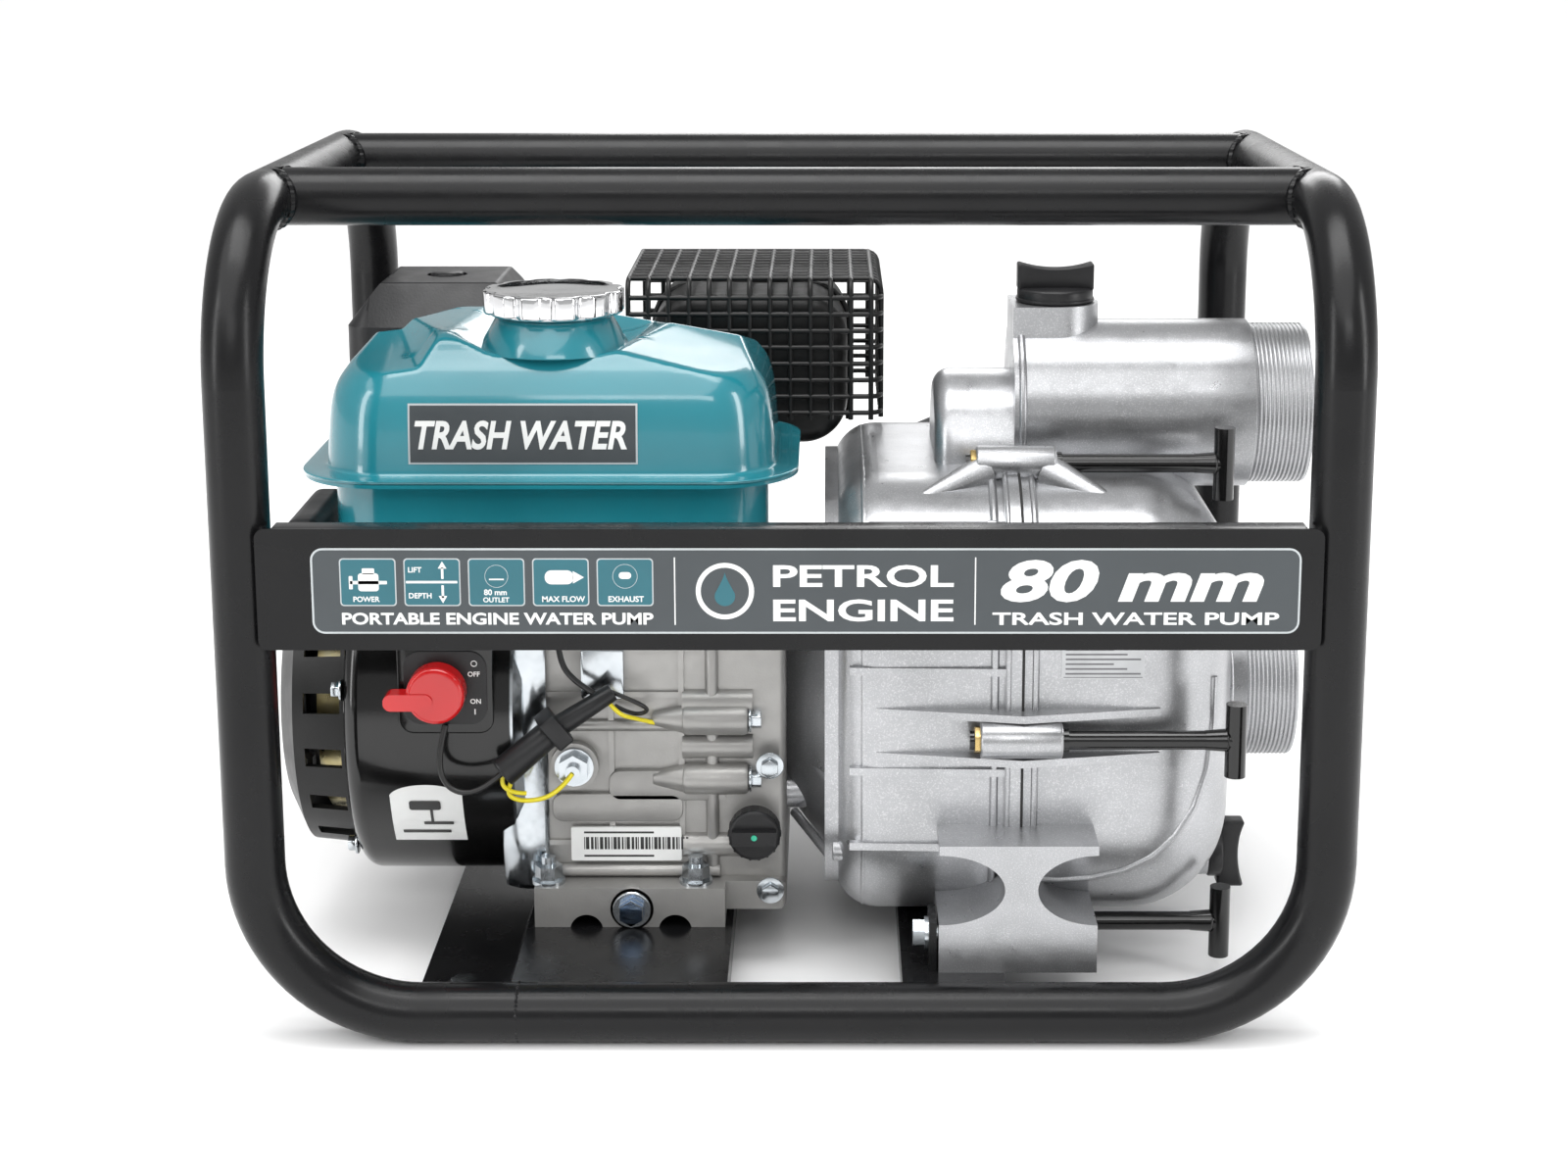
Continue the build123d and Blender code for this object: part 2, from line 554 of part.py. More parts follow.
# The black cover has broad chamfers round its top and a stud through the middle for the nut.
FILTER_CENTRE = (-211.0, 114.0)
with BuildPart() as filter_cover:
    with BuildSketch(Plane.XY.offset(FILTER_Z[0] + 12)):
        tank_section(FILTER_X, FILTER_Y, 0, 13)
    extrude(amount=FILTER_SHOULDER - FILTER_Z[0] - 12)
    with BuildSketch(Plane.XY.offset(FILTER_SHOULDER)):
        tank_section(FILTER_X, FILTER_Y, 0, 13)
    extrude(amount=FILTER_Z[1] - FILTER_SHOULDER, taper=38)
    fillet(filter_cover.faces().sort_by(Axis.Z)[-1].edges(), 3)
    with BuildSketch(Plane.XY.offset(FILTER_Z[0] + 12)):
        tank_section(FILTER_X, FILTER_Y, -3, 10)
    extrude(amount=62, mode=Mode.SUBTRACT)
    rod((*FILTER_CENTRE, 330), (*FILTER_CENTRE, 347), 12, mode=Mode.ADD)
    rod((*FILTER_CENTRE, 342), (*FILTER_CENTRE, 352), 12, mode=Mode.SUBTRACT)
save(filter_cover, "air_filter_cover")

with BuildPart() as filter_nut:
    rod((*FILTER_CENTRE, 342.5), (*FILTER_CENTRE, 351), 6)
    with BuildSketch(Plane.XZ.offset(-FILTER_CENTRE[1] - 1.5)):
        with Locations((FILTER_CENTRE[0] - 10, 358), (FILTER_CENTRE[0] + 10, 358)):
            Circle(6)
        with Locations((FILTER_CENTRE[0], 353)):
            Rectangle(20, 5)
    extrude(amount=3)
save(filter_nut, "air_filter_nut")

# The silencer is a pressed box on the exhaust boss, with a short outlet at the back.
MUFFLER_X = (-85.0, 30.0)
MUFFLER_Y = (52.0, 168.0)
MUFFLER_Z = (258.0, 346.0)
with BuildPart() as muffler:
    block(MUFFLER_X, MUFFLER_Y, MUFFLER_Z)
    fillet(muffler.edges().filter_by(Axis.Y), 26)
    fillet(muffler.faces().sort_by(Axis.Y)[0].edges(), 8)
    fillet(muffler.faces().sort_by(Axis.Y)[-1].edges(), 8)
    rod(EXHAUST, (EXHAUST[0], EXHAUST[1], MUFFLER_Z[0] + 4), 16)
    rod((0, MUFFLER_Y[1] - 2, 320), (0, MUFFLER_Y[1] + 8, 320), 11)
    inside_x = (MUFFLER_X[0] + 14, MUFFLER_X[1] - 14)
    inside_y = (MUFFLER_Y[0] + 4, MUFFLER_Y[1] - 4)
    block(inside_x, inside_y, (MUFFLER_Z[0] + 4, MUFFLER_Z[1] - 4), mode=Mode.SUBTRACT)
    rod((0, MUFFLER_Y[1] - 10, 320), (0, MUFFLER_Y[1] + 10, 320), 9, mode=Mode.SUBTRACT)
    rod((EXHAUST[0], EXHAUST[1], 245), (EXHAUST[0], EXHAUST[1], 270), 11, mode=Mode.SUBTRACT)
save(muffler, "muffler")

# A welded wire cage keeps hands off the silencer. It is open underneath and clips on at its foot.
CAGE_X = (-98.0, 51.0)
CAGE_Y = (40.0, 181.0)
CAGE_Z = (273.0, 358.0)
CAGE_BAR = 2.6


def cage_panel(plane, width, height, columns, rows):
    """One welded mesh panel on a plane, as bars left between square openings."""
    hole_w = (width - CAGE_BAR) / columns - CAGE_BAR
    hole_h = (height - CAGE_BAR) / rows - CAGE_BAR
    with BuildSketch(plane) as outline:
        Rectangle(width, height)
        with GridLocations(hole_w + CAGE_BAR, hole_h + CAGE_BAR, columns, rows):
            Rectangle(hole_w, hole_h, mode=Mode.SUBTRACT)
    extrude(outline.sketch, amount=CAGE_BAR)


with BuildPart() as guard:
    length = CAGE_X[1] - CAGE_X[0]
    depth = CAGE_Y[1] - CAGE_Y[0]
    tall = CAGE_Z[1] - CAGE_Z[0]
    middle = Vector(sum(CAGE_X) / 2, sum(CAGE_Y) / 2, sum(CAGE_Z) / 2)
    cage_panel(Plane(origin=(middle.X, middle.Y, CAGE_Z[1] - CAGE_BAR)), length, depth, 13, 12)
    front = Plane(origin=(middle.X, CAGE_Y[0] + CAGE_BAR, middle.Z), x_dir=(1, 0, 0), z_dir=(0, -1, 0))
    back = Plane(origin=(middle.X, CAGE_Y[1], middle.Z), x_dir=(1, 0, 0), z_dir=(0, -1, 0))
    cage_panel(front, length, tall, 13, 7)
    cage_panel(back, length, tall, 13, 7)
    right = Plane(origin=(CAGE_X[1] - CAGE_BAR, middle.Y, middle.Z), x_dir=(0, 1, 0), z_dir=(1, 0, 0))
    cage_panel(right, depth, tall, 12, 7)
save(guard, "muffler_guard")

# ---------------------------------------------------------------- controls

with BuildPart() as throttle:
    rod((-172, 116, 232.4), (-172, 116, 235.4), 8)
    block((-176, -168), (116, 160), (232.4, 235.4))
    rod((-172, 160, 232.4), (-172, 160, 240), 5)
save(throttle, "throttle_lever")

for name, pivot, height in (("choke_lever", (-182, 222), 6), ("fuel_valve_lever", (-166, 199), 6)):
    with BuildPart() as lever:
        rod((pivot[0], 137.4, pivot[1]), (pivot[0], 141.4, pivot[1]), height)
        block((pivot[0] - 30, pivot[0]), (138.4, 141.4), (pivot[1] - 3, pivot[1] + 3))
        block((pivot[0] - 34, pivot[0] - 28), (138.4, 149), (pivot[1] - 4, pivot[1] + 4))
    save(lever, name)

# The engine switch: a moulded boss on the drum with a red rotary knob.
KNOB = (-188.0, 161.0)
BOSS_FACE_Y = -119.0
with BuildPart() as switch_body:
    block((-206, -162), (BOSS_FACE_Y, -100), (142, 182))
    fillet(switch_body.edges().filter_by(Axis.Y), 9)
    rod((-245, CRANK_Y, CRANK_Z), (-150, CRANK_Y, CRANK_Z), DRUM_R, mode=Mode.SUBTRACT)
    rod((KNOB[0], -125, KNOB[1]), (KNOB[0], -114, KNOB[1]), 4.3, mode=Mode.SUBTRACT)
save(switch_body, "switch_body")

with BuildPart() as knob:
    rod((KNOB[0], -132, KNOB[1]), (KNOB[0], BOSS_FACE_Y - LOOSE_GAP, KNOB[1]), 15.5)
    fillet(knob.edges().group_by(Axis.Y)[0], 3)
    with BuildSketch(Plane.XZ.offset(122)):
        with Locations((KNOB[0] - 14, KNOB[1] - 3)):
            RectangleRounded(26, 9, 4)
    extrude(amount=11)
    rod((KNOB[0], -125, KNOB[1]), (KNOB[0], -115, KNOB[1]), 4)
save(knob, "switch_knob")

with BuildPart() as dipstick:
    rod((DIPSTICK[0], -101.4, DIPSTICK[1]), (DIPSTICK[0], -112, DIPSTICK[1]), 14)
    fillet(dipstick.edges().group_by(Axis.Y)[0], 2)
    block((-33, -9), (-117, -111), (DIPSTICK[1] - 4, DIPSTICK[1] + 4))
    rod((DIPSTICK[0], -102, DIPSTICK[1]), (DIPSTICK[0], -70, DIPSTICK[1]), 7.6)
save(dipstick, "oil_dipstick")

with BuildPart() as drain_bolt:
    rod((DRAIN[0], -117, DRAIN[1]), (DRAIN[0], -115, DRAIN[1]), 9.5)
    hexagon((DRAIN[0], -117, DRAIN[1]), (DRAIN[0], -123, DRAIN[1]), 13)
    rod((DRAIN[0], -116, DRAIN[1]), (DRAIN[0], -100, DRAIN[1]), 5)
save(drain_bolt, "oil_drain_bolt")

SENSOR_FACE = CASE_Y[0] - 6
with BuildPart() as sensor:
    rod((SENSOR[0], SENSOR_FACE, SENSOR[1]), (SENSOR[0], SENSOR_FACE - 2, SENSOR[1]), 10.5)
    hexagon((SENSOR[0], SENSOR_FACE - 2, SENSOR[1]), (SENSOR[0], SENSOR_FACE - 8, SENSOR[1]), 15)
    rod((SENSOR[0], SENSOR_FACE - 8, SENSOR[1]), (SENSOR[0], SENSOR_FACE - 12, SENSOR[1]), 4)
    rod((SENSOR[0], SENSOR_FACE, SENSOR[1]), (SENSOR[0], -85, SENSOR[1]), 5)
save(sensor, "oil_sensor")

# ---------------------------------------------------------------- wiring

CONNECTOR = ((-150, -126, 121), (-104, -112, 158))
with BuildPart() as connector:
    rod(*CONNECTOR, 7)
    middle = (Vector(*CONNECTOR[0]) + Vector(*CONNECTOR[1])) * 0.5
    run = (Vector(*CONNECTOR[1]) - Vector(*CONNECTOR[0])).normalized()
    rod(middle - run * 8, middle + run * 8, 9)
save(connector, "wire_connector")

# The switch's lead loops down the drum and up into the connector.
with BuildPart() as switch_wire:
    wire([(-184, -121, 142), (-189, -126, 124), (-182, -130, 108), (-164, -131, 108),
          (-150.5, -126, 121)], 1.6)
save(switch_wire, "switch_wire")

# The oil sensor's yellow lead sags from the connector to the sensor's stud.
with BuildPart() as sensor_wire:
    wire([(-148, -125, 114.5), (-154, -124, 105), (-143, -121, 99), (-126, -117, 102),
          (SENSOR[0], SENSOR_FACE - 12, SENSOR[1])], 1.3)
save(sensor_wire, "sensor_wire")

# ---------------------------------------------------------------- pump casing

PUMP_MID = (sum(PUMP_Y) / 2, sum(PUMP_Z) / 2)
UPPER_BOSS = (72.0, 276.5)
MIDDLE_BOSS = (140.0, 144.5)
LOWER_BOSS = (105.0, 31.0)
BOLTS = [(CRANK_Y + side * reach, z) for side in (-1, 1)
         for reach, z in (UPPER_BOSS, MIDDLE_BOSS, LOWER_BOSS)]
BOSS_R = 9.0
BOSS_X = (98.0, 140.0)
BOLT_R = 5.0
LOW_BOLT_Z = 60.0


def casing_section(grow):
    """The pump casing's outline across the shaft, grown all round, on the open sketch."""
    with Locations(PUMP_MID):
        RectangleRounded(PUMP_Y[1] - PUMP_Y[0] + 2 * grow, PUMP_Z[1] - PUMP_Z[0] + 2 * grow,
                         PUMP_CORNER + grow)


def side_rib(z, near_x, far_x, height, thick):
    """A tapering rib on both sides of the casing, highest at near_x and gone at far_x."""
    for face, out in ((PUMP_Y[0], -1), (PUMP_Y[1], 1)):
        with BuildSketch(Plane.XY.offset(z - thick / 2)) as outline:
            with BuildLine():
                Polyline(
                    (near_x, face - out * 4),
                    (near_x, face + out * height),
                    (far_x, face + out * 0.5),
                    (far_x, face - out * 4),
                    close=True,
                )
            make_face()
        extrude(outline.sketch, amount=thick)


def bolt_holes(x):
    """The clearance holes of the T-handled bolts."""
    for y, z in BOLTS:
        rod((x[0], y, z), (x[1], y, z), BOLT_R + LOOSE_GAP, mode=Mode.SUBTRACT)


def foot_half(start_x, end_x, hollow_x, hollow_reach):
    """One half of both feet: a block, a waisted web and a flange, run into the casing's corner."""
    for outer, inner in ((FOOT_Y[0], PUMP_Y[0] + 40), (FOOT_Y[1], PUMP_Y[1] - 40)):
        with BuildSketch(Plane.XZ.offset(-outer)) as outline:
            with Locations(((start_x + end_x) / 2, (BASE_Z + FOOT_TOP) / 2)):
                Rectangle(end_x - start_x, FOOT_TOP - BASE_Z)
            with Locations((hollow_x, 71)):
                Ellipse(hollow_reach, 19, mode=Mode.SUBTRACT)
        extrude(outline.sketch, amount=outer - inner)


SEAL_R = 24.0
BELL_R = 62.0
FOOT_BLOCK_X = (76.0, 158.0)
FOOT_TOP = 95.0

# The rear casing is one casting with the bell that bolts to the engine, the feet and the hump
# behind the discharge pipe.
with BuildPart() as rear:
    with BuildSketch(Plane.YZ.offset(PUMP_X[0])):
        casing_section(0)
    extrude(amount=SPLIT_X - PUMP_X[0])
    fillet(rear.faces().sort_by(Axis.X)[0].edges(), 24)
    with BuildSketch(Plane.YZ.offset(SPLIT_X - 9)):
        casing_section(4)
    extrude(amount=9)
    with BuildSketch(Plane.YZ.offset(PUMP_X[0] - 5)):
        casing_section(-14)
    extrude(amount=12)
    turned([(COVER_X[1], 20), (COVER_X[1], BELL_R), (PUMP_X[0] - 4, BELL_R + 30), (PUMP_X[0] + 2, 20)])
    # The bell's four ears meet the engine cover.
    for y in (-60, 34):
        for z in (85, 179):
            rod((COVER_X[1], y, z), (PUMP_X[0] + 4, y, z), 10)
    # Hump behind the discharge pipe.
    rod((77, CRANK_Y, 270), (SPLIT_X, CRANK_Y, 270), 45)
    fillet(rear.edges().filter_by(GeomType.CIRCLE).filter_by(lambda e: abs(e.center().X - 77) < 0.1
           and abs(e.center().Z - 270) < 60 and e.length > 20), 10)
    for y, z in BOLTS:
        start = BOSS_X[0] if z > LOW_BOLT_Z else 112.0
        rod((start, y, z), (SPLIT_X, y, z), BOSS_R)
    for z in (196, 178.6, 124, 82.7):
        side_rib(z, SPLIT_X - 9, 30, 3, 4)
    for z in (MIDDLE_BOSS[1] - 12, MIDDLE_BOSS[1] + 12):
        side_rib(z, SPLIT_X, 44, 14, 4)
    foot_half(FOOT_BLOCK_X[0], SPLIT_X, FOOT_BLOCK_X[0], 34)
    # The hollow inside, the shaft's way in and the passage up to the discharge pipe.
    with BuildSketch(Plane.YZ.offset(PUMP_X[0] + 12)):
        casing_section(-PUMP_WALL)
    extrude(amount=SPLIT_X - PUMP_X[0] - 12, mode=Mode.SUBTRACT)
    rod((-10, CRANK_Y, CRANK_Z), (PUMP_X[0] - 5, CRANK_Y, CRANK_Z), BELL_R - 12, mode=Mode.SUBTRACT)
    rod((10, CRANK_Y, CRANK_Z), (40, CRANK_Y, CRANK_Z), SEAL_R, mode=Mode.SUBTRACT)
    rod((84, CRANK_Y, 270), (SPLIT_X, CRANK_Y, 270), 38, mode=Mode.SUBTRACT)
    bolt_holes((90, SPLIT_X))
    for y in (FOOT_Y[0] + 14, FOOT_Y[1] - 14):
        rod((60, y, 42), (100, y, 42), 4.3, mode=Mode.SUBTRACT)
save(rear, "pump_rear_casing")

# The front cover comes off by hand for clearing out, on six T-handled bolts.
DRAIN_BOSS = (-50.0, 45.0)
PORT_FACE_X = 240.0
FLAP_SEAT_X = 230.0
FLAP_X = 225.0
FLAP_HINGE_Z = SUCTION_Z + 48
with BuildPart() as front_cover:
    with BuildSketch(Plane.YZ.offset(SPLIT_X)):
        casing_section(0)
    extrude(amount=PUMP_X[1] - SPLIT_X)
    fillet(front_cover.faces().sort_by(Axis.X)[-1].edges(), 56)
    with BuildSketch(Plane.YZ.offset(SPLIT_X)):
        casing_section(2.5)
    extrude(amount=8)
    for y, z in BOLTS:
        rod((SPLIT_X, y, z), (BOSS_X[1], y, z), BOSS_R)
    for z in (MIDDLE_BOSS[1] - 12, MIDDLE_BOSS[1] + 12):
        side_rib(z, SPLIT_X, 192, 14, 4)
    foot_half(SPLIT_X, FOOT_BLOCK_X[1], FOOT_BLOCK_X[1], 31)
    rod((186, *DRAIN_BOSS), (232, *DRAIN_BOSS), 13)
    rod((210, CRANK_Y, SUCTION_Z), (PORT_FACE_X, CRANK_Y, SUCTION_Z), 56)
    with BuildSketch(Plane.YZ.offset(SPLIT_X)):
        casing_section(-PUMP_WALL)
    extrude(amount=PUMP_X[1] - SPLIT_X - PUMP_WALL - 46, mode=Mode.SUBTRACT)
    rod((180, CRANK_Y, SUCTION_Z), (FLAP_SEAT_X, CRANK_Y, SUCTION_Z), 62, mode=Mode.SUBTRACT)
    for y in (CRANK_Y - 17, CRANK_Y + 17):
        block((FLAP_SEAT_X - 9, FLAP_SEAT_X + 1), (y - 2.5, y + 2.5), (FLAP_HINGE_Z - 6, FLAP_HINGE_Z + 9))
        rod((FLAP_X + 1, y - 4, FLAP_HINGE_Z), (FLAP_X + 1, y + 4, FLAP_HINGE_Z), 3 + RUNNING_GAP,
            mode=Mode.SUBTRACT)
    rod((200, CRANK_Y, SUCTION_Z), (250, CRANK_Y, SUCTION_Z), PORT_BORE_R, mode=Mode.SUBTRACT)
    rod((180, *DRAIN_BOSS), (240, *DRAIN_BOSS), 7.3, mode=Mode.SUBTRACT)
    rod((100, CRANK_Y, DISCHARGE_Z), (260, CRANK_Y, DISCHARGE_Z), PIPE_R, mode=Mode.SUBTRACT)
    bolt_holes((SPLIT_X, 165))
save(front_cover, "pump_front_cover")

# The discharge pipe leaves the top of the casing and ends in the hose thread. The boss on it
# takes the priming plug.
PRIMING = (144.5, -13.0)
with BuildPart() as discharge:
    rod((SPLIT_X, CRANK_Y, DISCHARGE_Z), (251, CRANK_Y, DISCHARGE_Z), PIPE_R)
    rod((250, CRANK_Y, DISCHARGE_Z), (283, CRANK_Y, DISCHARGE_Z), PORT_THREAD_R)
    rod((*PRIMING, 320), (*PRIMING, 353), 24)
    block((SPLIT_X, PRIMING[0]), (PRIMING[1] - 24, PRIMING[1] + 24), (320, 353))
    rod((128, CRANK_Y, DISCHARGE_Z), (290, CRANK_Y, DISCHARGE_Z), PORT_BORE_R, mode=Mode.SUBTRACT)
    rod((*PRIMING, 300), (*PRIMING, 360), 17.5, mode=Mode.SUBTRACT)
    block((132, 200), (-38, 12), (240, 280), mode=Mode.SUBTRACT)
save(discharge, "discharge_port")

with BuildPart() as suction:
    rod((PORT_FACE_X, CRANK_Y, SUCTION_Z), (250, CRANK_Y, SUCTION_Z), 52)
    rod((250, CRANK_Y, SUCTION_Z), (280, CRANK_Y, SUCTION_Z), PORT_THREAD_R)
    rod((230, CRANK_Y, SUCTION_Z), (290, CRANK_Y, SUCTION_Z), PORT_BORE_R, mode=Mode.SUBTRACT)
save(suction, "suction_port")

with BuildPart() as priming_plug:
    rod((*PRIMING, 353.4), (*PRIMING, 361), 21)
    rod((*PRIMING, 338), (*PRIMING, 354), 17)
    with BuildSketch(Plane.XZ.offset(-PRIMING[1] - 4)):
        with Locations((PRIMING[0], 368)):
            RectangleRounded(42, 16, 6)
    extrude(amount=8)
save(priming_plug, "priming_plug")

with BuildPart() as drain_plug:
    rod((232.4, *DRAIN_BOSS), (240, *DRAIN_BOSS), 13)
    rod((216, *DRAIN_BOSS), (233, *DRAIN_BOSS), 7)
    block((238, 253), (DRAIN_BOSS[0] - 4, DRAIN_BOSS[0] + 4), (DRAIN_BOSS[1] - 18, DRAIN_BOSS[1] + 18))
    fillet(drain_plug.edges().filter_by(Axis.Y).group_by(Axis.X)[-1], 5)
save(drain_plug, "pump_drain_plug")

# Each bolt runs through both bosses. A cross bar welded on its end turns it by hand.
BAR_X = 230.0
BAR_REACH = 19.5
for number, (y, z) in enumerate(BOLTS, start=1):
    with BuildPart() as t_bolt:
        start = BOSS_X[0] - 6 if z > LOW_BOLT_Z else 106.0
        seat = (BOSS_X[1] if z > LOW_BOLT_Z else FOOT_BLOCK_X[1]) + LOOSE_GAP
        rod((start, y, z), (BAR_X, y, z), BOLT_R)
        rod((seat, y, z), (seat + 3, y, z), 6.2)
        rod((BAR_X, y, z - BAR_REACH), (BAR_X, y, z + BAR_REACH), 5.5)
    save(t_bolt, f"t_bolt_{number}")

# ---------------------------------------------------------------- pump insides

IMPELLER_R = 58.0
with BuildPart() as impeller:
    turned([(60, SHAFT_R + RUNNING_GAP), (60, IMPELLER_R), (66, IMPELLER_R), (70, 22), (76, 14),
            (76, SHAFT_R + RUNNING_GAP)])
    with Locations(Location((76, CRANK_Y, CRANK_Z), (0, 90, 0))):
        with PolarLocations(34, 3):
            with Locations(Location((0, 0, 0), (0, 0, 35))):
                Box(40, 6, 24)
save(impeller, "impeller")

with BuildPart() as volute:
    turned([(44, 64), (44, 80), (98, 80), (98, 34), (94, 34), (94, 64)])
    block((60, 92), (CRANK_Y + 30, CRANK_Y + 62), (CRANK_Z + 60, CRANK_Z + 100))
    block((64, 88), (CRANK_Y + 34, CRANK_Y + 58), (CRANK_Z + 20, CRANK_Z + 110), mode=Mode.SUBTRACT)
    turned([(66, 30), (66, 63.9), (93.9, 63.9), (93.9, 30)], mode=Mode.SUBTRACT)
    for y in (CRANK_Y - 60, CRANK_Y + 60):
        rod((34, y, CRANK_Z - 40), (45, y, CRANK_Z - 40), 7)
save(volute, "volute")

with BuildPart() as seal:
    turned([(24, SHAFT_R + RUNNING_GAP), (24, SEAL_R - 0.1), (34, SEAL_R - 0.1), (34, 18), (56, 16),
            (56, SHAFT_R + RUNNING_GAP)])
save(seal, "mechanical_seal")

with BuildPart() as flap:
    rod((FLAP_X, CRANK_Y, SUCTION_Z), (FLAP_X + 4, CRANK_Y, SUCTION_Z), 42)
    block((FLAP_X, FLAP_X + 4), (CRANK_Y - 12, CRANK_Y + 12), (SUCTION_Z + 36, FLAP_HINGE_Z))
    rod((FLAP_X + 1, CRANK_Y - 19, FLAP_HINGE_Z), (FLAP_X + 1, CRANK_Y + 19, FLAP_HINGE_Z), 3)
save(flap, "flap_valve")

# ---------------------------------------------------------------- fasteners

with BuildPart() as bolts:
    # Studs, washers and nuts that hold the engine's feet to its plate.
    for x in STUD_X:
        for y in STUD_Y:
            rod((x, y, BASE_Z - 8), (x, y, 63), 4)
            rod((x, y, CASE_Z[0]), (x, y, CASE_Z[0] + 2), 9)
            hexagon((x, y, CASE_Z[0] + 2), (x, y, CASE_Z[0] + 10), 13)
            hexagon((x, y, BASE_Z - PLATE_T), (x, y, BASE_Z - 8), 13)
    for y in (-FLANGE_BOLT[1], FLANGE_BOLT[1]):
        x = FLANGE_BOLT[0]
        rod((x, y, 3), (x, y, 16), 4)
        rod((x, y, FLANGE_Z), (x, y, FLANGE_Z + 2), 8.5)
        hexagon((x, y, FLANGE_Z + 2), (x, y, FLANGE_Z + 8), 12)
    for y in (FOOT_Y[0] + 14, FOOT_Y[1] - 14):
        rod((TAB_X[0] - 2, y, 42), (TAB_X[0], y, 42), 9)
        hexagon((TAB_X[0] - 8, y, 42), (TAB_X[0] - 2, y, 42), 13)
        rod((TAB_X[0] - 4, y, 42), (92, y, 42), 4)
save(bolts, "mounting_bolts")
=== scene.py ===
import bpy
from math import atan2, cos, pi, radians, sin, sqrt
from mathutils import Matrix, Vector


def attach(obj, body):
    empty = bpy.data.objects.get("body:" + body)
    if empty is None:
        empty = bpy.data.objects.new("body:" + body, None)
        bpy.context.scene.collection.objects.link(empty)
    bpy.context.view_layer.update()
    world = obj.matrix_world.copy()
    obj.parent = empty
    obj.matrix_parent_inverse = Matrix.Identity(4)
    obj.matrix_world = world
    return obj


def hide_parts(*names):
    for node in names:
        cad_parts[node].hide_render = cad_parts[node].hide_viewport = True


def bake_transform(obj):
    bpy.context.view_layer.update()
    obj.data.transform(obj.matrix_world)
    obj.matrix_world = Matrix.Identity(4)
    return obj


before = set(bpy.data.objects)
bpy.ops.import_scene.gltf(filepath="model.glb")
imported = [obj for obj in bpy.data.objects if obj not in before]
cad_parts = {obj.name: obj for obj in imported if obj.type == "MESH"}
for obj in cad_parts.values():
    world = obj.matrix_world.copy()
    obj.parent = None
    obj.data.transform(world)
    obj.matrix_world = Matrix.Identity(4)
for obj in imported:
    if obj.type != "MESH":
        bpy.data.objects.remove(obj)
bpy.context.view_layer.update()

# ---------------------------------------------------------------------------------------------
# The studio: a pale floor in a white room, with big soft boxes above, in front, behind and to
# both sides. The camera stands in front of the pump and looks slightly down at it.

mm = 0.001

camera_data = bpy.data.cameras.new("camera")
camera_data.lens = 59.37
camera_data.sensor_width = 36.0
camera_data.shift_x = -0.0284
camera_data.shift_y = -0.1
camera_data.clip_end = 50.0
camera = bpy.data.objects.new("camera", camera_data)
camera.location = (19.0 * mm, -1433.3 * mm, 570.1 * mm)
camera.rotation_euler = (pi / 2 - 0.202, 0, 0)
bpy.context.collection.objects.link(camera)
bpy.context.scene.camera = camera

bpy.ops.object.select_all(action="DESELECT")
bpy.ops.mesh.primitive_plane_add(size=30.0, location=(0, 0, 0))
floor = bpy.context.active_object
floor.name = "floor"
floor_paint = bpy.data.materials.new("floor_paint")
floor_paint.use_nodes = True
floor_shader = floor_paint.node_tree.nodes["Principled BSDF"]
floor_shader.inputs["Base Color"].default_value = (0.95, 0.95, 0.95, 1)
floor_shader.inputs["Roughness"].default_value = 0.8
floor.data.materials.append(floor_paint)

sky = bpy.data.worlds.new("pale_room")
sky.use_nodes = True
sky_nodes = sky.node_tree.nodes
sky_links = sky.node_tree.links
# The room itself is dim, so that blacks stay black, but what shows behind the floor is white.
sky_lights = sky_nodes["Background"]
sky_lights.inputs["Color"].default_value = (1.0, 1.0, 1.0, 1)
sky_lights.inputs["Strength"].default_value = 0.52
sky_seen = sky_nodes.new("ShaderNodeBackground")
sky_seen.inputs["Color"].default_value = (1.0, 1.0, 1.0, 1)
seen_by_camera = sky_nodes.new("ShaderNodeLightPath").outputs["Is Camera Ray"]
sky_mix = sky_nodes.new("ShaderNodeMixShader")
sky_links.new(seen_by_camera, sky_mix.inputs["Fac"])
sky_links.new(sky_lights.outputs["Background"], sky_mix.inputs[1])
sky_links.new(sky_seen.outputs["Background"], sky_mix.inputs[2])
sky_links.new(sky_mix.outputs["Shader"], sky_nodes["World Output"].inputs["Surface"])
bpy.context.scene.world = sky
bpy.context.scene.view_settings.view_transform = "Standard"


def soft_box(name, place, target, width, height, watts):
    """A rectangular lamp at a place, turned to face a target."""
    lamp_data = bpy.data.lights.new(name, "AREA")
    lamp_data.shape = "RECTANGLE"
    lamp_data.size = width
    lamp_data.size_y = height
    lamp_data.energy = watts
    lamp = bpy.data.objects.new(name, lamp_data)
    lamp.location = place
    lamp.rotation_euler = (Vector(target) - Vector(place)).to_track_quat("-Z", "Y").to_euler()
    bpy.context.collection.objects.link(lamp)


middle_of_pump = (0, 0, 0.2)
soft_box("top_box", (0, -0.3, 2.0), middle_of_pump, 1.6, 0.9, 18)
soft_box("left_box", (-1.9, -1.3, 0.9), middle_of_pump, 0.35, 1.6, 13)
soft_box("right_box", (2.0, -1.1, 0.9), middle_of_pump, 0.35, 1.6, 15)
soft_box("front_box", (0.2, -2.8, 1.7), middle_of_pump, 1.4, 0.4, 9)
soft_box("back_box", (0.4, 2.2, 1.4), middle_of_pump, 1.6, 0.8, 16)
# A wide sun lights the whole floor evenly, however far it runs.
sun_data = bpy.data.lights.new("even_light", "SUN")
sun_data.energy = 2.05
sun_data.angle = radians(70)
sun = bpy.data.objects.new("even_light", sun_data)
sun.rotation_euler = (radians(24), radians(-12), 0)
bpy.context.collection.objects.link(sun)

# ---------------------------------------------------------------------------------------------
# The frame: two bent side tubes, two top rails coped round them and the base plates, all steel,
# MIG welded and powder coated satin black in one go, so the weld beads are black too.


